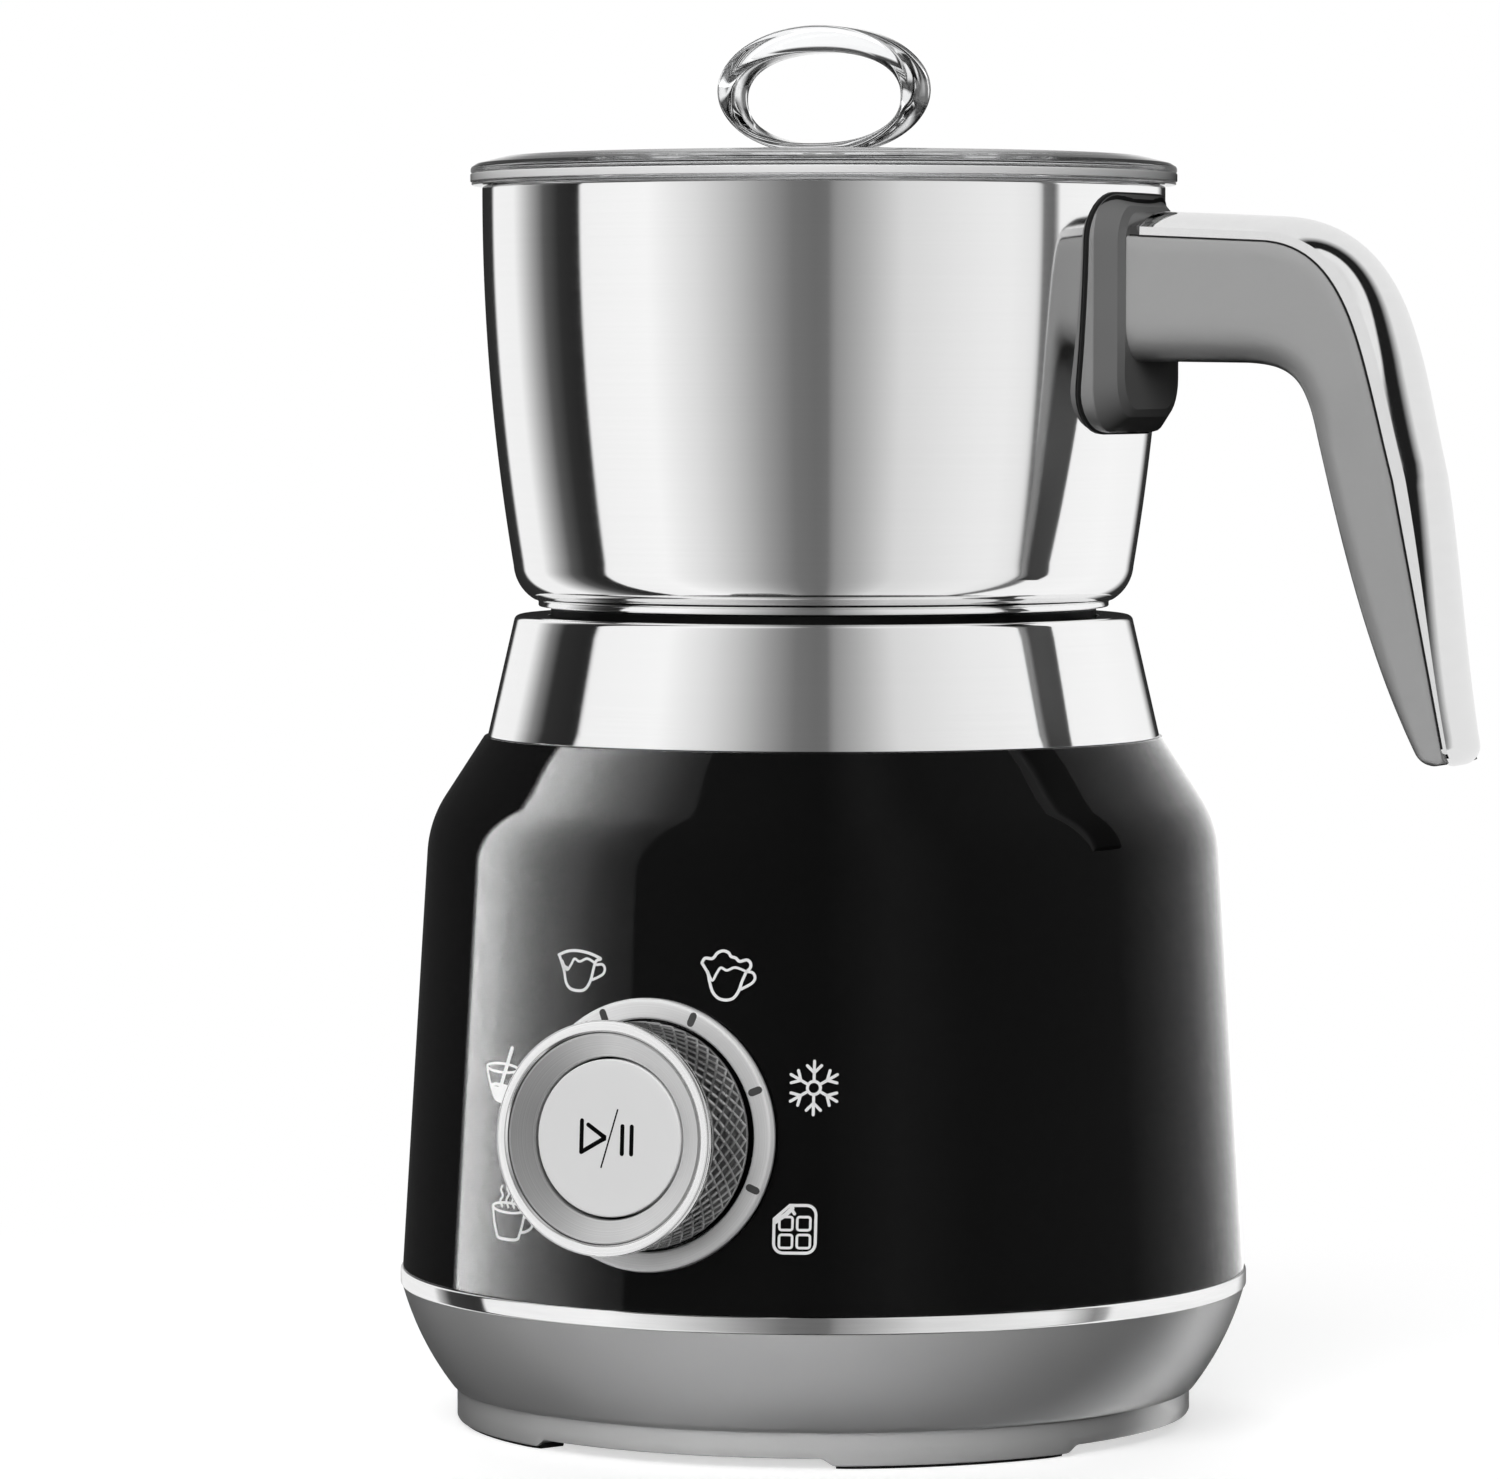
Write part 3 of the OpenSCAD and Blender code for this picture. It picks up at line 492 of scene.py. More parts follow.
for number in range(4):
    middle = math.radians(45 + 90 * number)
    half = math.radians(19)
    rows = []
    for k in range(25):
        t = k / 24
        # the ends are rounded by drawing the section in
        edge = min(t, 1 - t) * 24
        inset = 0.5 * (1 - min(edge, 2) / 2) ** 2
        a = middle - half + 2 * half * t
        section = rounded([(58 + inset, 0.0, 0.25), (64.2 - inset, 0.0, 0.25), (64.2 - inset, 1.0), (58 + inset, 1.0)],
                          3)
        rows.append([(r * math.cos(a), r * math.sin(a), z) for r, z in section])
    pad = piece(f"rubber_pad_{number + 1}", *grid(rows, cap_start=True, cap_end=True))
    dress(pad, "base", "rubber_black", "rubber", f"foot_pad_{number + 1}")


def foot_drop(angle):
    """How far down the skirt's lower edge is at an angle: 0 between the feet, 1 on a foot, with sloping ends."""
    off = abs((math.degrees(angle) - 45 + 45) % 90 - 45)
    t = min(max((21.5 - off) / 2.4, 0.0), 1.0)
    return t * t * (3 - 2 * t)


SIDES = 720
skirt_outline = [(59.0, 6.3), (65.0, 6.3), (65.0, 5.4), (65.0, 3.6), (65.0, 2.2), (64.85, 1.9), (64.4, 1.8),
                 (64.28, 2.0),
                 (64.2, 1.8), (61.0, 1.8), (58.2, 1.8), (57.4, 2.0), (57.0, 2.6), (57.0, 3.3), (52.0, 3.3)]
rows = []
for k in range(SIDES):
    a = 2 * math.pi * k / SIDES
    drop = foot_drop(a)
    row = []
    for r, z in skirt_outline:
        if r > 64.3 and z < 3.2:
            # a lip of the foot hides the upper half of the pad
            z -= 1.3 * drop
        elif r >= 57.0 and z < 3.2:
            z -= drop * (0.8 if z < 2.2 else 0.4)
        row.append((r * math.cos(a), r * math.sin(a), z))
    rows.append(row)
rows.append(rows[0])
plate = piece("foot_skirt", *grid(rows, wrap=False))
weld(plate, outward=False)
dress(plate, "base", "grey_plastic", "grey")

floor_plate = lathe("vented_floor", [(0.0, 3.3), (58.6, 3.3), (58.9, 3.6), (58.9, 6.0), (58.6, 6.2), (0.0, 6.2)])
slots = [box_part((7, 19), (-1.2, 1.2), (0, 8), math.radians(30 * k)) for k in range(12)]
slots += [box_part((27, 42), (-1.2, 1.2), (0, 8), math.radians(7.5 + 15 * k)) for k in range(24)]
for k in range(4):
    spot = (52 * math.cos(math.radians(90 * k)), 52 * math.sin(math.radians(90 * k)))
    slots.append(rod_part(1.6, 4.5, 8, spot, 32))
    slots.append(rod_part(3.2, 2, 4.8, spot, 32))
carve(floor_plate, slots)
dress(floor_plate, "base", "grey_plastic", "grey", "base_plate")

bowl_out = bulge((66.0, 6.6), (74.7, 24.2), 51, 20)
bowl_in = [(r - 3.0, z) for r, z in reversed(bowl_out) if z > 9.2]
bowl_outline = ([(46.0, 6.3), (64.6, 6.3), (65.3, 6.32), (65.75, 6.42)] + bowl_out + bowl_in
                + [(bowl_in[-1][0], 8.9), (46.0, 8.9)])
posts = []
for k in range(4):
    a, b = math.radians(90 * k), math.radians(45 + 90 * k)
    posts.append(rod_part(3.5, 8.8, 16, (52 * math.cos(a), 52 * math.sin(a))))
    posts.append(rod_part(3.5, 8.8, 30, (50 * math.cos(b), 50 * math.sin(b))))
    posts.append(rod_part(1.4, 29.9, 33, (50 * math.cos(b), 50 * math.sin(b))))
bowl = piece("lower_bowl", *merged(turned(bowl_outline, 256), *posts))
dress(bowl, "base", "grey_plastic", "grey", "base_bowl")

trim = lathe("trim_ring_bright", rounded([(70.5, 24.2), (75.0, 24.2, 0.45), (75.0, 27.2, 0.45), (70.5, 27.2)]), 256)
dress(trim, "base", "chrome_trim", "chrome", "trim_ring")

shell_outline = rounded([(SHELL_R, SHELL_Z, 0.25), (KNEE_R, KNEE_Z, 20.0), (60.0, BODY_TOP, 0.3),
                         (56.42, BODY_TOP), (KNEE_R - 3.2, KNEE_Z - 0.9, 17.0), (SHELL_R - 3.0, SHELL_Z)], 14)
shell = lathe("gloss_body", finer(shell_outline, 3), 256)
carve(shell, [rod_part(11.6, -14, 8, sides=64)], place=DIAL)
carve(shell, [rod_part(6.52, 58, 82, sides=64)], place=GLAND)
dress(shell, "base", "gloss_black", "gloss", "body_shell")

collar_outline = rounded([(59.4, 121.2, 0.15), (54.5, 142.6, 1.1), (48.8, 142.6, 0.25), (48.8, 141.8),
                          (53.5, 141.8), (58.2, 121.2)], 8)
collar = lathe("steel_collar", finer(collar_outline, 2), 256)
dress(collar, "base", "polished_steel", "steel", "collar")

seat_outline = rounded([(0.0, 136.0), (0.0, 139.0), (39.9, 139.0), (40.0, 138.2), (43.0, 138.2), (43.1, 139.0),
                        (46.6, 139.0, 0.5), (46.6, 144.0, 0.5), (48.2, 144.0, 0.5), (48.2, 141.6, 0.3),
                        (53.0, 141.6, 0.3),
                        (53.0, 122.7, 0.3), (57.5, 122.7, 0.3), (57.5, 121.2), (50.5, 121.2), (50.5, 136.0)], 4)
seat = piece("seat", *turned(seat_outline, 192, closed=False))
carve(seat, [rod_part(3.5, 134, 141, (0, -25), 48)])
dress(seat, "base", "black_plastic", "matt_black", "seat_plate")

seat_seal = lathe("seat_seal", rounded([(40.05, 138.25), (42.95, 138.25), (42.95, 139.2, 0.3), (41.5, 139.2),
                                        (40.05, 139.2, 0.3)], 4))
dress(seat_seal, "base", "silicone_black", "silicone", "seat_gasket")

gland = lathe("cord_gland_ribbed", rounded([(3.3, 66), (7.7, 66, 0.3), (7.7, 67.6, 0.3), (6.5, 67.6), (6.5, 74.0),
                                            (8.5, 74.0, 0.4), (8.5, 76.0, 0.7), (5.2, 76.0, 0.3), (4.9, 75.5),
                                            (4.0, 75.5),
                                            (3.3, 75.0, 0.3)], 4), 96, place=GLAND)
dress(gland, "base", "rubber_black", "rubber", "cord_gland")

# ---------- dial ----------


def body_depth(x, y):
    """Height of the body's surface at (x, y) of the dial's frame, along the dial's axis."""
    c, s = math.cos(math.radians(LEAN)), math.sin(math.radians(LEAN))
    depth = 0.0
    for _ in range(12):
        point = (x, -body_r(DIAL_Z) + y * s - depth * c, DIAL_Z + y * c + depth * s)
        depth += (body_r(point[2]) - math.hypot(point[0], point[1])) * c * 0.98
    return depth


RING_IN, RING_OUT, RING_H = 19.65, 23.15, 1.3
# the ring's face is flatter than the body under it
RING_FOLLOW = 0.4
EDGE_R = 0.75
ring_section = ([(RING_IN, -0.05), (RING_IN, RING_H - 0.30), (RING_IN + 0.25, RING_H - 0.05),
                 (RING_IN + 0.5, RING_H - 0.02), (22.2, RING_H)]
                + list(reversed(arc((RING_OUT - EDGE_R, RING_H - EDGE_R), EDGE_R, 0, 90, 6)))
                + [(RING_OUT, 0.25), (RING_OUT - 0.1, 0.08), (RING_OUT - 0.3, 0.0), (RING_OUT - 1.2, 0.0),
                   (RING_OUT - 1.2, -0.05)])
rows = []
for r, z in ring_section:
    follow = 1.0 if z < 0 else RING_FOLLOW
    rows.append([(x, y, body_depth(x, y) * follow + z) for x, y, _ in circle(r, z, 240)])
rows.append(rows[0])
dial_ring = piece("dial_ring_satin", *grid(rows), place=DIAL)
weld(dial_ring)
dress(dial_ring, "base", "satin_silver", "ring", "dial_ring")


def stroke(points, width, closed=False, cap_steps=5):
    """Outline strips of a line of that width, with round ends, as flat points and faces."""
    half = width / 2
    n = len(points)
    verts, faces = [], []
    for i, p in enumerate(points):
        a = Vector(points[i - 1]) if closed or i else Vector(p)
        b = Vector(points[(i + 1) % n]) if closed or i < n - 1 else Vector(p)
        d = (b - a).normalized()
        before = (Vector(p) - a).normalized() if (Vector(p) - a).length > 1e-9 else d
        after = (b - Vector(p)).normalized() if (b - Vector(p)).length > 1e-9 else d
        miter = min(1.0 / max(math.sqrt(max((1 + before.dot(after)) / 2, 0.05)), 0.45), 1.8)
        normal = Vector((-d.y, d.x)) * half * miter
        verts += [(p[0] + normal.x, p[1] + normal.y), (p[0] - normal.x, p[1] - normal.y)]
    for i in range(n if closed else n - 1):
        k = (i + 1) % n
        faces.append([2 * i, 2 * i + 1, 2 * k + 1, 2 * k])
    if not closed:
        for end, nxt in ((0, 1), (n - 1, n - 2)):
            p, q = Vector(points[end]), Vector(points[nxt])
            back = math.atan2(p.y - q.y, p.x - q.x)
            first = len(verts)
            verts += [(p.x + half * math.cos(back + math.pi * (k / cap_steps - 0.5)),
                       p.y + half * math.sin(back + math.pi * (k / cap_steps - 0.5))) for k in range(cap_steps + 1)]
            faces.append(list(range(first, first + cap_steps + 1)))
    return [(x, y, 0.0) for x, y in verts], faces


def raised(parts, height):
    """Gives flat strips a thickness: points at z 0 are copied down to -height."""
    verts, faces = merged(*parts)
    bm = bmesh.new()
    made = [bm.verts.new(v) for v in verts]
    for f in faces:
        try:
            bm.faces.new([made[i] for i in f])
        except ValueError:
            pass
    bmesh.ops.remove_doubles(bm, verts=bm.verts, dist=1e-5)
    for f in bm.faces:
        f.normal_update()
        if f.normal.z < 0:
            f.normal_flip()
    top = bm.faces[:]
    grown = bmesh.ops.extrude_face_region(bm, geom=top)
    for v in [g for g in grown["geom"] if isinstance(g, bmesh.types.BMVert)]:
        v.co.z -= height
    bmesh.ops.recalc_face_normals(bm, faces=bm.faces)
    bm.verts.index_update()
    out = [tuple(v.co) for v in bm.verts], [[v.index for v in f.verts] for f in bm.faces]
    bm.free()
    return out


def bar(r0, r1, width, angle):
    """A short bar with round ends, from radius r0 to r1, at an angle clockwise from the top."""
    d = (math.sin(math.radians(angle)), math.cos(math.radians(angle)))
    half = width / 2
    steps = [r0 + half + (r1 - r0 - width) * k / 6 for k in range(7)]
    return stroke([(d[0] * r, d[1] * r) for r in steps], width)


marks = []
for k in range(6):
    part = raised([bar(20.15, 22.7, 1.25, -112.5 + 45 * k)], 0.5)
    marks.append(([(x, y, z + body_depth(x, y) * RING_FOLLOW + RING_H + 0.04) for x, y, z in part[0]], part[1]))
dial_marks = piece("dial_marks", *merged(*marks), place=DIAL, smooth=False)
dress(dial_marks, "base", "satin_silver", "mark")

# knurled side of the knob: a diamond pattern of ridges between two plain bands
KNURLS, STEPS = 48, 14
KNURL_LOW, KNURL_ROWS, KNURL_PITCH = 1.75, 3, 4.15
KNOB_SIDES = KNURLS * STEPS
rows = [circle(r, z, KNOB_SIDES) for r, z in (
    (9.03, -8.0), (10.8, -8.0), (10.8, 3.0), (14.4, 3.0), (14.4, 0.7), (14.6, 0.5), (18.7, 0.5), (18.95, 0.56),
    (19.05, 0.75), (19.05, 1.45), (18.85, 1.6))]
KNURL_DIV = 14
for j in range(KNURL_ROWS * KNURL_DIV + 1):
    z = KNURL_LOW + KNURL_PITCH * j / KNURL_DIV
    row = []
    for k in range(KNOB_SIDES):
        u, v = k / STEPS, j / KNURL_DIV
        off = min(abs((w + 0.5) % 1.0 - 0.5) for w in (u + v, u - v))
        ridge = max(1.0 - off / 0.17, 0.0)
        a = 2 * math.pi * k / KNOB_SIDES
        r = 18.82 + 0.42 * ridge ** 0.8
        row.append((r * math.cos(a), r * math.sin(a), z))
    rows.append(row)
rows += [circle(r, z, KNOB_SIDES) for r, z in (
    (18.85, 14.35), (19.05, 14.5), (19.05, 15.75), (18.9, 15.9), (17.65, 15.9), (17.65, 14.9), (14.4, 12.9),
    (14.4, 6.0), (9.03, 6.0))]
rows.append(rows[0])
knurl = piece("knurled_grip", *grid(rows), place=DIAL, sharp=60)
weld(knurl)
dress(knurl, "knob", "knurled_metal", "knurl", "knob_grip")

rim = lathe("knob_front_rim", rounded([(17.7, 15.92), (19.55, 15.92, 0.3), (19.75, 16.5), (19.75, 17.7, 0.75),
                                       (18.1, 17.7, 0.35), (17.75, 17.3)], 6), 240, place=DIAL)
dress(rim, "knob", "bright_rim", "rim", "knob_rim")
dish = lathe("knob_face", rounded([(13.6, 12.9), (14.4, 12.9), (17.6, 14.9), (17.6, 17.1, 0.15), (17.3, 17.25),
                                   (13.75, 15.15, 0.15), (13.6, 14.9)], 4), 240, place=DIAL)
dress(dish, "knob", "satin_silver", "dish", "knob_dish")

button_outline = ([(0.0, 12.1), (13.0, 12.1), (13.2, 12.3), (13.2, 14.75)] + arc((12.9, 14.78), 0.3, 0, 90, 6)
                  + [(12.0, 15.09), (8.0, 15.1), (0.0, 15.1)])
button = piece("start_button_cap", *merged(turned(button_outline, 192, closed=False),
                                            box_part((-2.5, 2.5), (-2.5, 2.5), (-9.8, 12.2))), place=DIAL)
dress(button, "button", "button_white", "button", "start_button")

BUTTON_LINE = 0.74
symbol = [
    stroke([(-5.04, 2.75), (-5.04, -2.5)], BUTTON_LINE),
    stroke(flowing([(-3.86, 2.1), (-0.72, 0.08)], 4) + flowing([(-0.72, 0.0), (-5.04, -2.5)], 4), BUTTON_LINE),
    stroke([(1.5, 4.8), (-1.3, -4.9)], 0.27),
    stroke([(2.47, 2.1), (2.47, -2.5)], BUTTON_LINE),
    stroke([(4.19, 2.1), (4.19, -2.5)], BUTTON_LINE),
]
verts, faces = merged(*(raised([part], 0.4) for part in symbol))
button_print = piece("button_symbol", [(x, y, z + 15.13) for x, y, z in verts], faces, place=DIAL, smooth=False)
dress(button_print, "button", "button_white", "ink_black")

# ---------- printed pictograms on the body ----------


def ellipse_points(cx, cy, a, b, n=24):
    return [(cx + a * math.cos(2 * math.pi * i / n), cy + b * math.sin(2 * math.pi * i / n)) for i in range(n)]


def curves(*lines, steps=6):
    """Strokes through points, each given by its width and then the points."""
    return [stroke(flowing(points, steps), width) for width, points in lines]


def thin_foam_marks():
    outlines = curves(
        (0.5, [(-4.95, 2.2), (-3.85, -0.25), (-3.35, -2.2), (-2.4, -3.25), (-0.8, -3.55), (0.75, -3.25), (1.9, -1.7),
               (2.8, 1.4), (3.8, 1.95)]),
        (0.5, [(-5.1, 2.3), (-3.2, 3.0), (-1.1, 3.2), (1.4, 2.9), (3.6, 2.2), (3.8, 1.95)]),
        (0.42, [(-4.3, 1.15), (-3.65, 0.2), (-3.05, -0.1), (-2.25, 0.9), (-1.6, 1.8), (-0.5, 1.4), (1.1, 1.95),
                (2.65, 1.3)]))
    wedge = curves((0.6, [(-4.35, 1.3), (-3.85, 0.45), (-3.2, 0.15)]), steps=4)
    handle = curves((0.44, [(3.1, 1.0), (4.2, 1.1), (4.75, 0.45), (4.5, -0.4), (3.6, -1.0), (2.3, -1.55)]))
    return outlines + wedge + handle


def thick_foam_marks():
    return curves(
        (0.5, [(-4.75, 1.9), (-4.2, 2.7), (-2.9, 2.7), (-2.1, 3.6), (-1.15, 4.0), (-0.2, 3.75), (0.3, 3.1), (1.1, 2.85),
               (1.8, 2.3), (3.0, 2.55), (3.65, 2.05), (3.65, 1.25), (3.0, 0.6)]),
        (0.5, [(-4.75, 1.9), (-3.7, 0.25), (-3.3, -1.3), (-2.75, -2.9), (-1.8, -3.9), (-0.5, -4.25), (0.85, -3.9),
               (1.8, -2.6), (2.3, -1.05), (3.0, 0.6)]),
        (0.42, [(-3.7, 0.5), (-3.2, -0.6), (-2.75, -0.95), (-2.1, 0.25), (-1.4, 1.15), (-0.35, 0.75), (1.1, 1.25),
                (3.0, 0.6)]),
        (0.46, [(3.1, 0.6), (4.1, 0.4), (4.5, -0.5), (3.9, -1.4), (2.2, -2.35)]))


def snow_marks():
    parts = [stroke(ellipse_points(0, 0, 1.1, 1.1), 0.5, closed=True)]
    for k in range(6):
        a = math.radians(90 + 60 * k)
        d, n = (math.cos(a), math.sin(a)), (-math.sin(a), math.cos(a))

        def at(along, across):
            return (d[0] * along + n[0] * across, d[1] * along + n[1] * across)

        parts.append(stroke([at(1.3, 0), at(2.4, 0), at(3.4, 0), at(4.5, 0)], 0.5))
        for side in (-1, 1):
            parts.append(stroke([at(2.55, 0), at(3.15, 0.6 * side), at(3.75, 1.2 * side)], 0.5))
    return parts


def tray_marks():
    outline = rounded([(-0.9, 4.0), (3.5, 4.0, 1.6), (3.5, -4.0, 1.6), (-3.5, -4.0, 1.6), (-3.5, 1.7)], 6)
    parts = [stroke(outline, 0.5, closed=True),
             stroke([(-3.3, 1.2), (-2.6, 1.75), (-1.6, 2.4), (-0.5, 3.5)], 0.75),
             stroke([(-0.7, 3.8), (-0.45, 3.1), (-0.1, 2.6)], 0.55)]
    for cx, cy in ((-1.5, 0.95), (1.5, 0.95), (-1.5, -2.05), (1.5, -2.05)):
        frame_line = rounded([(cx - 1.1, cy - 1.1, 0.4), (cx + 1.1, cy - 1.1, 0.4), (cx + 1.1, cy + 1.1, 0.4),
                              (cx - 1.1, cy + 1.1, 0.4)], 3)
        parts.append(stroke(frame_line, 0.42, closed=True))
    return parts


def glass_marks():
    parts = [stroke(ellipse_points(0, 1.9, 4.3, 0.75), 0.42, closed=True)]
    parts += curves((0.46, [(-4.3, 1.8), (-3.45, -0.4), (-2.5, -2.3), (-1.6, -3.45), (-0.6, -3.8), (0.6, -3.8),
                            (1.6, -3.45), (2.5, -2.3), (3.45, -0.4), (4.3, 1.8)]))
    for k, half in enumerate((3.0, 2.75, 2.45, 2.1, 1.7, 1.1)):
        y = -1.2 - 0.45 * k
        parts.append(stroke([(-half, y), (-half / 2, y + (0.25 if k == 0 else 0)), (half / 2, y), (half, y)], 0.56))
    parts.append(stroke([(-0.6, -2.2), (1.0, 1.6), (2.6, 5.4)], 0.85))
    return parts


def steam_marks():
    parts = [stroke(ellipse_points(0, 0, 4.2, 0.85), 0.42, closed=True)]
    parts += curves(
        (0.5, [(-4.2, -0.1), (-3.7, -2.4), (-3.0, -4.3), (-2.1, -5.3), (2.1, -5.3), (3.0, -4.3), (3.7, -2.4),
               (4.2, -0.1)]),
        (0.46, [(3.9, -1.3), (5.3, -1.3), (6.2, -2.0), (5.8, -3.0), (4.6, -3.7), (3.2, -4.0)]))
    return parts + curves(*(
        (0.42, [(x + 0.3, 0.1), (x - 0.3, top * 0.28), (x + 0.35, top * 0.55), (x - 0.2, top * 0.8), (x + 0.15, top)])
        for x, top in ((-1.9, 3.6), (-0.3, 4.3), (1.2, 3.8))))


def on_body(u, v, lift):
    """A point u mm round the body from the dial's axis and v mm up its side, lift mm off the surface."""
    z = DIAL_Z + v * math.cos(math.radians(LEAN))
    a = u / body_r(z)
    r = body_r(z) + lift
    return (r * math.sin(a), -r * math.cos(a), z)


for name, parts, centre in (
        ("print_thin_foam", thin_foam_marks(), (-13.8, 27.3)),
        ("print_thick_foam", thick_foam_marks(), (13.8, 27.4)),
        ("print_snowflake", snow_marks(), (28.7, 8.6)),
        ("print_tray", tray_marks(), (26.1, -15.1)),
        ("print_glass", glass_marks(), (-32.2, 7.6)),
        ("print_steam_cup", steam_marks(), (-29.4, -14.2))):
    verts, faces = merged(*(raised([part], 0.12) for part in parts))
    verts = [on_body(x + centre[0], y + centre[1], z + 0.07) for x, y, z in verts]
    dress(piece(name, verts, faces, smooth=False), "base", "button_white", "ink_white")

# ---------- jug ----------

wall_z = [151.2 + (JUG_RIM - 151.2) * i / 44 for i in range(45)]
jug_outer = ([(0.0, 139.2), (45.2, 139.2), (45.7, 139.5), (45.8, 140.0), (45.8, 143.6), (46.1, 144.0), (46.5, 144.1),
              (50.0, 144.1), (50.25, 144.15), (50.4, 144.35), (50.4, 144.95), (50.5, 145.15), (50.8, 145.27)]
             + bulge((51.2, 145.4), (jug_r(151.2), 151.2), 7.5, 12)
             + [(jug_r(z), z) for z in wall_z[1:-1]]
             + [(60.2, 216.6), (60.2, 217.2), (60.2, 217.7), (60.12, 217.9), (59.95, 218.0)])
jug_inner = ([(59.55, 218.0), (59.35, 217.85), (59.3, 217.5)]
             + [(jug_r(z) - 0.9, z) for z in reversed(wall_z[1:-1])]
             + list(reversed(bulge((50.2, 146.1), (jug_r(151.2) - 0.9, 151.2), 7.2, 12)))
             + [(49.6, 145.3), (45.6, 145.1), (44.95, 144.7), (44.9, 143.9), (44.4, 143.1), (43.6, 142.6),
                (20.0, 142.6),
                (0.0, 142.6)])
jug = piece("steel_jug", *turned(jug_outer + jug_inner, 256, closed=False))
dress(jug, "jug", "polished_steel", "steel", "jug_shell", "jug_base_disc")

# ---------- handle ----------


def rounded_box_line(half_w, half_h, r, mid_z, per_side=8, per_corner=8):
    """Points (y, z) of a rounded rectangle, with the same count at every size."""
    out = []
    for cx, cz, start in ((half_w - r, half_h - r, 0), (-half_w + r, half_h - r, 90),
                          (-half_w + r, -half_h + r, 180), (half_w - r, -half_h + r, 270)):
        out += arc((cx, cz), r, start, start + 90, per_corner)
    dense = []
    for i, p in enumerate(out):
        q = out[(i + 1) % len(out)]
        dense.append(p)
        if (i + 1) % (per_corner + 1) == 0:
            dense += line_up(p, q, per_side)[1:-1]
    return [(y, z + mid_z) for y, z in dense]


def jug_x(y, z, grow):
    r = jug_r(min(z, JUG_RIM), grow)
    return math.sqrt(max(r * r - y * y, 1.0))


BASE_LINE = rounded_box_line(18.4, 20.5, 8.0, 195.5)
FRONT_LINE = rounded_box_line(12.4, 17.0, 6.0, 196.0)

gasket_rows = []
for inset, grow in ((2.5, 0.03), (-0.3, 0.03), (-0.35, 0.3), (-0.1, 0.55), (2.5, 0.58)):
    line = rounded_box_line(18.4 - inset, 20.5 - inset, max(8.0 - inset, 1.0), 195.5)
    gasket_rows.append([(jug_x(y, z, grow), y, z) for y, z in line])
gasket_rows.append(gasket_rows[0])
gasket = piece("handle_seal", *grid(gasket_rows))
weld(gasket)
dress(gasket, "jug", "silicone_black", "silicone", "handle_gasket")


def bracket_row(t, x_of):
    """A row of the bracket, a share t of the way from the base line to the front line."""
    return [(x_of(y0, z0), y0 + (y1 - y0) * t, z0 + (z1 - z0) * t)
            for (y0, z0), (y1, z1) in zip(BASE_LINE, FRONT_LINE)]


SIDE_X, FRONT_X = 58.6, 62.1
bracket_rows = [bracket_row(t, lambda y, z: jug_x(y, z, 0.6)) for t in (0.25, 0.0)]
for x in (57.4, 58.0, 58.4):
    bracket_rows.append(bracket_row(0.0, lambda y, z, x=x: max(x, jug_x(y, z, 0.6) + 0.05)))
for t in (0.015, 0.05, 0.12, 0.3, 0.5, 0.63, 0.66, 0.69, 0.8, 0.9, 0.97):
    bracket_rows.append(bracket_row(t, lambda y, z, t=t: SIDE_X + min(4.4 * t, 2.9 + 1.76 * (t - 0.66))))
for shrink in (1.0, 0.985, 0.9, 0.6, 0.3):
    bracket_rows.append([(FRONT_X, y * shrink, 196.0 + (z - 196.0) * shrink) for y, z in FRONT_LINE])
bracket = piece("handle_mount", *grid(bracket_rows, cap_start=True, cap_end=True), sharp=15)
dress(bracket, "jug", "grey_plastic", "bracket", "handle_bracket")


def eased(t):
    t = min(max(t, 0.0), 1.0)
    return t * t * (3 - 2 * t)


def handle_half(z, root, tip):
    t = min(max((185.0 - z) / 69.0, 0.0), 1.0)
    return (root + (tip - root) * t) / 2


OUTER = (line_up((60, 208.9), (86, 207.7), 12)[:-1]
         + bezier([(86, 207.7), (103.0, 207.3), (104.8, 187.0), (110.0, 167)], 30)[:-1]
         + line_up((110.0, 167), (118.4, 121.6), 28) + [(118.55, 120.8), (118.7, 120.0), (118.85, 119.2)])
INNER = (line_up((60, 187.3), (82, 187.0), 12)[:-1]
         + bezier([(82, 187), (91.5, 186.6), (93.6, 183.5), (95.6, 174.6)], 30)[:-1]
         + bezier([(95.6, 174.6), (100.0, 155.3), (104.5, 136.7), (112.9, 120.7)], 31))


def grip_section(outer, inner, half, rs, ry, steps=8):
    """Section ring: flat outer side, straight flanks and a soft inner side."""
    d = inner - outer
    depth = d.length
    d = d.normalized()
    rs, ry = min(rs, depth * 0.42), min(ry, half * 0.7)
    edge = min(0.6, depth * 0.08)
    left = [(0.0, -(half - edge)), (edge * 0.3, -(half - edge * 0.3)), (edge, -half)]
    left += [(edge + (depth - rs - edge) * k / 6, -half) for k in range(1, 6)]
    for k in range(steps + 1):
        turn = math.pi / 2 * k / steps
        left.append((depth - rs + rs * math.sin(turn), -(half - ry + ry * math.cos(turn))))
    full = left + [(depth, 0.0)] + [(t, -y) for t, y in reversed(left)] + [(0.0, 0.0)]
    return [(outer.x + d.x * t, y, outer.y + d.y * t) for t, y in full]


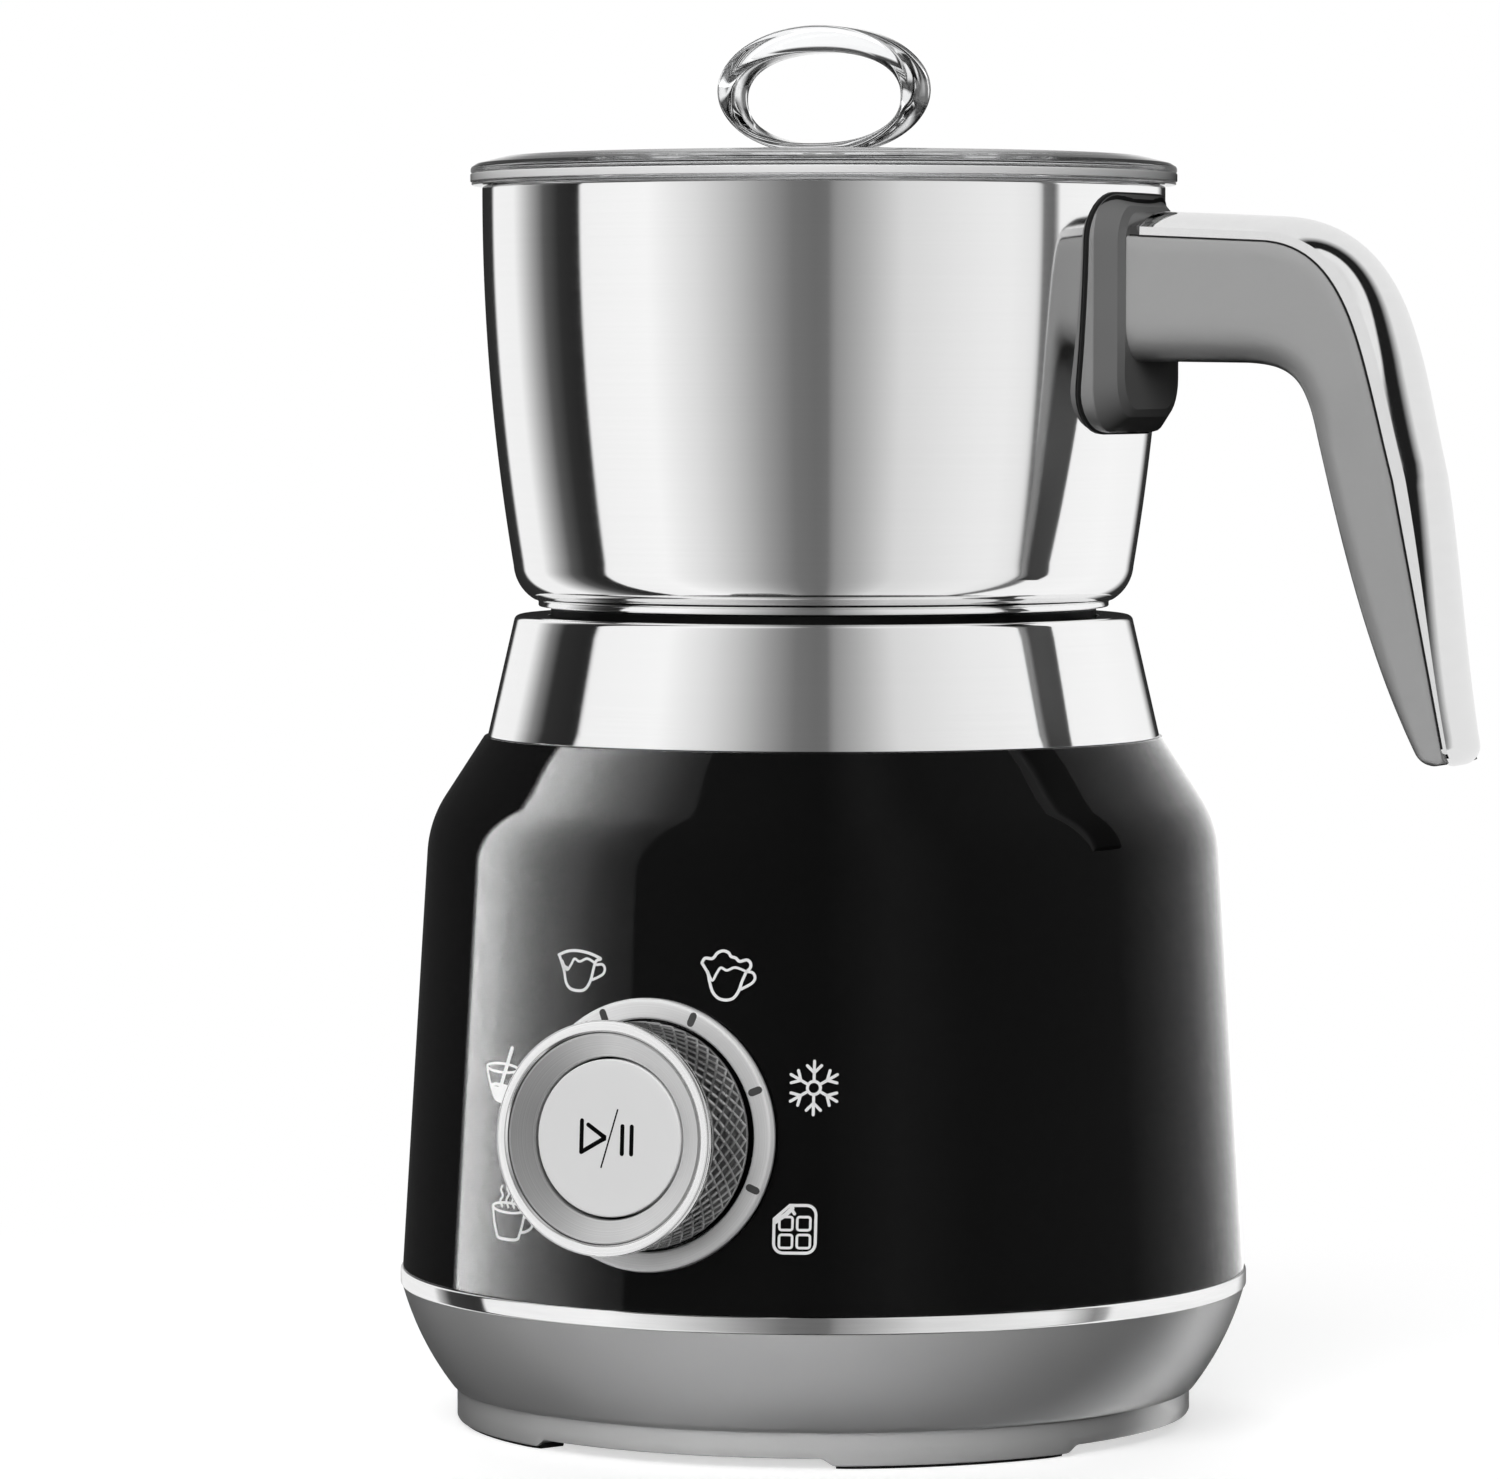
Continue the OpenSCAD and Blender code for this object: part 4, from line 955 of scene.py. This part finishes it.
grip_rows = []
for i, (o, n) in enumerate(zip(OUTER, INNER)):
    o, n = Vector(o), Vector(n)
    if o.x < 62.15:
        continue
    t = min(max((i - 12) / 30, 0.0), 1.0)
    half = handle_half((o.y + n.y) / 2 if i < 12 else o.y, 24.0, 18.0)
    grip_rows.append(grip_section(o, n, half, 6.5 - 1.6 * t, 6.5 - 2.7 * t))
tip_out, tip_in = Vector(OUTER[-1]), Vector(INNER[-1])
tip_arc = bulge(tip_in, tip_out, 4.6, 20)
for k in range(1, 10):
    bend = 1 - math.cos(math.pi / 2 * k / 9)
    half = handle_half(tip_out.y, 24.0, 18.0) - 1.8 * bend
    grip_rows.append(grip_section(Vector(tip_arc[20 - k]), Vector(tip_arc[k]), half, 4.9, 3.8 - bend))
grip = piece("handle_grip_body", *grid(grip_rows, cap_start=True, cap_end=True), sharp=40)
dress(grip, "jug", "grey_plastic", "grey", "handle_grip")

CROWN_EDGE = math.radians(27.5)


def strip_section(base, out, half, crease, end=1.0):
    """Section of the strip: an upright side, a crisp crease and a crown of one radius."""
    radius = half / math.sin(CROWN_EDGE)
    crown = []
    for k in range(17):
        a = CROWN_EDGE * (1 - k / 16)
        crown.append((crease + radius * (math.cos(a) - math.cos(CROWN_EDGE)) * end, -radius * math.sin(a)))
    left = [(0.0, -half), (crease * 0.5, -half), (crease - 0.12, -half)] + crown
    full = left + [(t, -y) for t, y in reversed(left[:-1])] + [(0.0, 0.0)]
    return [(base.x + out.x * t, y, base.y + out.y * t) for t, y in full]


strip_rows = []
gap_shadow_rows = []
STRIP_BACK = 0.35
SPINE = OUTER[:-3]
for i, p in enumerate(SPINE):
    if p[0] < 62.15:
        continue
    reach = 1 if i < 12 else 5
    a, b = Vector(SPINE[max(i - reach, 0)]), Vector(SPINE[min(i + reach, len(SPINE) - 1)])
    d = (b - a).normalized()
    out_dir = Vector((-d.y, d.x))
    half = handle_half(p[1], 23.0, 17.0)
    t = eased((i - 12) / 16)
    low = eased((168.0 - p[1]) / 46.4)
    crease = 1.65 + 0.8 * t - 1.55 * low
    # the near end is rounded off in plan and in height
    lead = min(max((p[0] - 62.15) / 2.2, 0.0), 1.0) if i < 12 else 1.0
    shrink = 1.0 - 0.10 * (1 - lead) ** 2
    strip_rows.append(strip_section(Vector(p) - out_dir * STRIP_BACK, out_dir, half * shrink, crease + STRIP_BACK,
                                    (0.55 + 0.45 * lead) * (1 - 0.2 * low)))
    # a thin black band under the strip's edges, painted shadow for the gap between grip and strip
    gap_shadow_half = half * shrink + 0.13
    base = Vector(p)
    gap_shadow_rows.append([(base.x + out_dir.x * h, y, base.y + out_dir.y * h)
                      for h, y in ((-0.4, -gap_shadow_half), (0.24, -gap_shadow_half), (0.24, gap_shadow_half), (-0.4, gap_shadow_half))])
tip_dir = (Vector(SPINE[-1]) - Vector(SPINE[-5])).normalized()
tip_normal = Vector((-tip_dir.y, tip_dir.x))
for k in range(1, 15):
    a = math.pi / 2 * k / 14
    bend = 1 - math.cos(a)
    base = Vector(SPINE[-1]) + tip_dir * 3.1 * math.sin(a) - tip_normal * (STRIP_BACK + 0.4 * bend)
    strip_rows.append(strip_section(base, tip_normal, handle_half(121.6, 23, 17) - 7.0 * bend,
                                    (0.9 + STRIP_BACK) * (1 - 0.55 * bend), 0.8 * (1 - 0.9 * bend)))
# the black band is painted shadow in the gap, not a real seal
gap_shadow = piece("strip_gap_shadow", *grid(gap_shadow_rows, cap_start=True, cap_end=True), smooth=False)
dress(gap_shadow, "jug", "silicone_black", "silicone")
strip = piece("handle_bright_strip", *grid(strip_rows, cap_start=True, cap_end=True), sharp=17)
dress(strip, "jug", "chrome_trim", "strip", "handle_strip")

# ---------- lid ----------

lid_outline = rounded([(0.0, 221.9), (0.0, 224.2), (22.0, 224.2), (40.0, 223.85, 30.0), (56.0, 223.3, 6.0),
                       (61.2, 222.0, 0.9), (62.25, 221.3, 0.7), (62.25, 220.4, 0.3), (61.85, 220.3), (61.85, 218.75),
                       (62.1, 218.6, 0.15),
                       (62.1, 218.2, 0.3), (58.0, 218.2, 0.2), (58.0, 212.0, 0.4), (56.2, 212.0, 0.4),
                       (56.2, 220.4, 1.0), (52.0, 220.9, 4.0)], 6)
lid = piece("clear_lid", *turned(lid_outline[1:] + lid_outline[:1], 256, closed=False))
dress(lid, "lid", "clear_plastic", "clear", "lid_disc")

# a white ring round the lid's edge: painted highlight
lip = lathe("lid_lip", rounded([(61.87, 218.8), (62.3, 218.8, 0.4), (62.3, 220.25, 0.55), (61.87, 220.25)], 8), 256)
dress(lip, "lid", "clear_plastic", "lip")

lid_seal = lathe("lid_seal",
                 [(58.03, 212.6), (58.3, 212.6), (58.6, 213.0), (58.93, 213.4), (58.6, 213.8), (58.42, 214.2),
                              (58.42, 215.0), (58.6, 215.4), (58.93, 215.8), (58.6, 216.2), (58.3, 216.6),
                              (58.03, 216.6)])
dress(lid_seal, "lid", "silicone_clear", "silicone_clear", "lid_gasket")

LOOP_MID, BAND = 235.0, 8.8
loop_rows = []
LOOP_STEPS = 120
for k in range(LOOP_STEPS):
    a = 2 * math.pi * k / LOOP_STEPS
    out = Vector((19.0 * math.cos(a), LOOP_MID + 11.3 * math.sin(a)))
    square = [math.copysign(abs(w) ** 0.88, w) for w in (math.cos(a), math.sin(a))]
    inn = Vector((16.3 * square[0], LOOP_MID - 1.4 + 8.0 * square[1]))
    if out.y < 224.23:
        out.y = 224.23
    depth = (out - inn).length
    d = (out - inn).normalized()
    section = rounded([(s, y, 1.1) for s, y in ((0.0, -BAND / 2), (depth, -BAND / 2), (depth, BAND / 2),
                                                (0.0, BAND / 2))], 4)
    loop_rows.append([(inn.x + d.x * s, y, inn.y + d.y * s) for s, y in section])
loop_rows.append(loop_rows[0])
loop = piece("clear_loop", *grid(loop_rows), sharp=50)
weld(loop)
dress(loop, "lid", "clear_plastic", "clear", "lid_loop")

# ---------- CAD nodes that stay, in better materials ----------

for look, names in {
    "screw": ("base_screws", "motor_screws", "sensor_spring", "handle_screws"),
    "amber": ("coil_former",),
    "copper": ("induction_coil", "choke_coil"),
    "ferrite": ("ferrite_bars", "motor_rotor"),
    "zinc": ("motor_bracket", "motor_can", "motor_shaft", "temp_sensor_cap", "handle_tang"),
    "resin": ("motor_cap", "power_transistor", "rotary_encoder", "start_switch", "fan_frame", "fan_rotor",
              "drive_disc"),
    "board": ("power_board", "control_board"),
    "alu": ("heat_sink",),
    "blue": ("filter_capacitor",),
    "red": ("tank_capacitor",),
    "white": ("knob_boss", "sensor_guide", "whisk_hub"),
    "magnet": ("drive_magnets", "whisk_magnets"),
    "steel": ("whisk_pin", "froth_disc"),
}.items():
    for name in names:
        obj = frame["nodes"][name]
        obj.data.materials.clear()
        obj.data.materials.append(M[look])

# ---------- stage ----------


def stage_mesh(name, verts, faces, material, smooth=True):
    obj = piece(name, verts, faces, smooth=smooth, fix_normals=False)
    obj.data.materials.append(material)
    return obj


def stage_material(name):
    material = bpy.data.materials.new(name)
    graph = Graph(material)
    graph.nodes.clear()
    return material, graph


def finish(graph, shader):
    graph.link(shader.outputs[0], graph.add("OutputMaterial").inputs["Surface"])


def disc(radii, sides, z):
    outline = [(0.0, z)] + [(r, z) for r in radii]
    return turned(outline, sides, closed=False)


# floor: a pale matt surface near the object that fades into plain white
floor_mat, graph = stage_material("floor")
length = graph.add("VectorMath")
length.operation = "LENGTH"
graph.link(graph.add("TexCoord").outputs["Object"], length.inputs[0])
near = graph.add("AddShader")
graph.link(graph.add("BsdfDiffuse", Color=(0.62, 0.62, 0.62, 1)).outputs[0], near.inputs[0])
graph.link(graph.add("Emission", Strength=0.60).outputs[0], near.inputs[1])
mix = graph.add("MixShader")
graph.link(graph.spread(length.outputs["Value"], 0.0, 1.0, (0.06, 0.34), "SMOOTHSTEP"), mix.inputs[0])
graph.link(near.outputs[0], mix.inputs[1])
graph.link(graph.add("Emission", Strength=1.0).outputs[0], mix.inputs[2])
finish(graph, mix)
floor = stage_mesh("floor", *disc((50, 100, 200, 400, 1000, 3000), 96, -0.02), floor_mat)
floor.visible_glossy = False
floor.visible_diffuse = False

# backdrop: a plain white dome that the camera and the clear parts see
dome_mat, graph = stage_material("backdrop")
finish(graph, graph.add("Emission", Strength=1.0))
DOME_R = 3200.0
dome_line = [(0.0, -DOME_R)] + arc((0, 0), DOME_R, -84, 84, 28) + [(0.0, DOME_R)]
dome = stage_mesh("backdrop", *turned(dome_line, 64, closed=False), dome_mat)
dome.visible_diffuse = False
dome.visible_glossy = False
dome.visible_shadow = False

world = bpy.data.worlds.new("studio")
graph = Graph(world)
sky = graph.add("SeparateXYZ")
graph.link(graph.add("TexCoord").outputs["Generated"], sky.inputs[0])
graph.link(graph.spread(sky.outputs[2], 0.10, 0.40, (-0.6, 0.6)), graph.nodes["Background"].inputs["Strength"])
world.cycles_visibility.glossy = False
scene.world = world


def shine_on(obj, name, receivers):
    group = bpy.data.collections.new(name)
    for receiver in receivers:
        group.objects.link(receiver)
    obj.light_linking.receiver_collection = group


TENT_Z = 0.15
TENT_LOW, TENT_HIGH = -70, 80
# the height, as a share of a tent's radius, at which a leaning edge keeps its place
LEAN_FROM = -0.122


def light_tent(name, radius, strength, receivers, stops, right=0.0, bands=()):
    """A softbox wall all round: its brightness is given by stops of (degrees from the camera's side, value).

    On the right, the edges lean by right radians per radius of height. Bands of (elevation in degrees, value)
    change the brightness with height.
    """
    material, graph = stage_material(name)
    parts = graph.add("SeparateXYZ")
    graph.link(graph.add("TexCoord").outputs["Object"], parts.inputs[0])
    x, y, z = parts.outputs
    angle = graph.math("ARCTAN2", y, x)
    rise = graph.math("MULTIPLY_ADD", z, 1 / (radius * MM), -LEAN_FROM)
    lean = graph.math("MULTIPLY", rise, graph.spread(angle, 0.0, right, (0.0, 0.7)))
    share = graph.spread(graph.math("SUBTRACT", angle, lean), 0.0, 1.0, (-math.pi, math.pi))
    glow = graph.add("Emission", Strength=strength)
    graph.link(graph.ramp(share, [((degrees + 180) / 360, value) for degrees, value in stops]), glow.inputs["Color"])
    if bands:
        height = graph.spread(z, 0.0, 1.0, (-radius * MM, radius * MM))
        levels = [(0.5 + math.sin(math.radians(e)) / 2, value * strength) for e, value in bands]
        graph.link(graph.ramp(height, levels), glow.inputs["Strength"])
    both = graph.add("AddShader")
    graph.link(glow.outputs[0], both.inputs[0])
    graph.link(graph.add("BsdfTransparent").outputs[0], both.inputs[1])
    finish(graph, both)
    line = arc((0, 0), radius, TENT_LOW, TENT_HIGH, (TENT_HIGH - TENT_LOW) // 5)
    obj = stage_mesh(name, *turned(line, 96, closed=False), material)
    obj.matrix_world = Matrix.Translation((0, 0, TENT_Z)) @ Matrix.Rotation(VIEW_AZ - math.pi / 2, 4, "Z")
    for ray in ("camera", "diffuse", "transmission", "shadow"):
        setattr(obj, "visible_" + ray, False)
    shine_on(obj, name + "_receivers", receivers)
    return obj


def wearing(*looks):
    """The pieces whose first material is one of these looks."""
    materials = [M[look] for look in looks]
    return [o for o in pieces if o.data.materials and o.data.materials[0] in materials]


def without(objects, taken):
    return [o for o in objects if o not in taken]


pieces = [o for o in scene.objects if o.type == "MESH" and not o.hide_render and o.name not in ("floor", "backdrop")]
metals = wearing("steel", "chrome", "strip", "ring", "dish", "rim", "knurl", "zinc", "screw", "alu", "copper", "magnet")
glossy = wearing("gloss", "ink_white")
clears = wearing("clear", "silicone_clear")
dials, greys, handles = [dish, dial_ring], [plate, bowl], [grip, bracket]
others = without(pieces, metals + glossy + clears + greys + handles)
metals = without(metals, [collar, jug, trim] + dials)
for obj in (jug, collar):
    obj.visible_diffuse = False

# the dark band down the middle of the metal, a reflection of the camera's side of the room
DIP = [(-42, 0.76), (-31, 0.56), (-20, 0.335), (-10, 0.178), (-2.4, 0.15), (2, 0.165), (3.2, 0.275), (13.4, 0.46),
       (26, 0.73), (44, 0.83), (55, 0.88), (64, 0.90)]
light_tent("tent_steel", 1500.0, 1.0, [jug], [
    (-180, 0.02), (-148, 0.03), (-145, 0.95), (-126.3, 0.95), (-114.5, 0.40), (-106.5, 0.10), (-98.3, 0.03),
    (-88.6, 0.018), (-88.0, 0.95), (-60, 1.0)] + DIP + [(72, 0.86), (75.6, 0.80), (77, 0.18), (82.5, 0.12), (84, 0.95),
    (120, 1.0), (150, 0.95), (158, 0.03), (180, 0.02)])
light_tent("tent_trim", 1510.0, 1.0, [trim], [
    (-180, 0.02), (-163, 0.9), (-128, 0.95), (-125, 0.5), (-119, 0.05), (-102.2, 0.03), (-101.4, 0.95), (-60, 1.0)]
    + DIP + [(70, 0.6), (76, 0.25), (80, 0.4), (82, 0.95), (120, 1.0), (150, 0.95), (160, 0.3), (180, 0.02)])
light_tent("tent_collar", 1520.0, 1.0, [collar], [
    (-180, 0.02), (-160, 0.03), (-156, 0.95), (-132, 0.95), (-120, 0.25), (-112, 0.03), (-93.3, 0.018), (-92.7, 0.95),
    (-60, 1.0)] + DIP + [(80, 0.95), (120, 1.0), (150, 0.95), (160, 0.03), (180, 0.02)])
light_tent("tent_metal", 1540.0, 1.0, metals, [
    (-180, 0.9), (-121, 0.95), (-106, 0.03), (-84.6, 0.018), (-84.0, 0.95), (-60, 1.0), (-36, 0.80), (-16, 0.45),
    (-3, 0.15), (3, 0.15), (16, 0.42), (36, 0.72), (48, 0.92), (57, 0.92), (58.5, 0.015), (73, 0.015), (86, 0.88),
    (140, 0.88), (180, 0.9)], right=1.1)
light_tent("tent_dial", 1560.0, 1.0, dials, [
    (-180, 0.9), (-150, 1.0), (-84, 0.95), (-60, 0.9), (-36, 0.60), (-10, 0.35), (20, 0.22), (50, 0.30), (90, 0.7),
    (140, 0.9), (180, 0.9)])
light_tent("tent_gloss", 1600.0, 7.0, glossy, [
    (-180, 0.006), (-155, 0.006), (-117, 0.008), (-115.5, 0.96), (-106, 0.90), (-95, 0.55), (-86, 0.33), (-76.5, 0.21),
    (-68, 0.11), (-60, 0.06), (-54.5, 0.045), (-53.5, 0.012), (0, 0.008), (20, 0.022), (40, 0.012), (91, 0.018),
    (125, 0.072), (165, 0.228), (172, 0.228), (178, 0.014)])
light_tent("tent_handle", 1660.0, 1.6, handles, [
    (-180, 0.0), (-75, 0.0), (-58, 0.9), (-36, 1.0), (-10, 0.4), (30, 0.05), (180, 0.0)])
light_tent("tent_base", 1650.0, 4.0, greys, [
    (-180, 0.0), (-112, 0.02), (-104, 0.08), (-100, 0.25), (-80, 0.35), (-72, 0.70), (-30, 1.0), (10, 0.9), (40, 0.5),
    (75, 0.10), (105, 0.02), (118, 0.5), (132, 1.0), (142, 0.6), (150, 0.0), (180, 0.0)])
light_tent("tent_soft", 1700.0, 1.6, others, [
    (-180, 0.1), (-165, 0.5), (-125, 0.9), (-60, 1.0), (-10, 0.45), (40, 0.10), (90, 0.05), (115, 0.5), (150, 1.0),
    (172, 0.6), (180, 0.1)])

# the clear parts are shown up by dark and bright cards in turn
CLEAR_STOPS = [
    (-180, 1.0), (-175, 1.0), (-171, 0.04), (-146, 0.03), (-140, 0.9), (-124, 0.9), (-118, 0.03), (-62, 0.03),
    (-56, 0.9),
    (-24, 0.9), (-14, 0.05), (10, 0.05), (20, 0.9), (50, 0.9), (58, 0.04), (118, 0.03), (124, 0.9), (140, 0.9),
    (146, 0.03), (171, 0.04), (175, 1.0), (180, 1.0)]
loop_tent = light_tent("tent_loop", 1400.0, 1.0, [loop], CLEAR_STOPS, bands=[
    (-60, 0.1), (-40, 0.8), (-32, 0.1), (-17, 0.04), (-12, 1.0), (12, 1.0), (17, 0.05), (30, 0.1), (38, 0.9),
    (60, 1.0)])
lid_stops = [(degrees, 0.25 + 0.75 * value) for degrees, value in CLEAR_STOPS]
lid_tent = light_tent("tent_lid", 1380.0, 1.0, without(clears, [loop]), lid_stops, bands=[
    (-60, 0.3), (-35, 0.5), (-15, 0.5), (-10, 1.0), (10, 1.0), (15, 0.6), (30, 0.6), (40, 1.0), (60, 1.0)])
for tent in (loop_tent, lid_tent):
    tent.visible_transmission = True
shine_on(dome, "backdrop_receivers", without(pieces, clears) + [floor])

for name, azimuth, height, energy, spread in (("key", -14, 30, 2.7, 50), ("side", -75, 25, 0.25, 60),
                                              ("back", 180, 35, 1.8, 60)):
    data = bpy.data.lights.new(name, "SUN")
    data.energy = energy
    data.angle = math.radians(spread)
    lamp = bpy.data.objects.new(name, data)
    # azimuth is counted from the camera's side, to the right
    a = VIEW_AZ - math.pi / 2 + math.radians(azimuth)
    e = math.radians(height)
    toward = Vector((math.cos(a) * math.cos(e), math.sin(a) * math.cos(e), math.sin(e)))
    lamp.rotation_euler = toward.to_track_quat("Z", "Y").to_euler()
    lamp.visible_glossy = False
    scene.collection.objects.link(lamp)
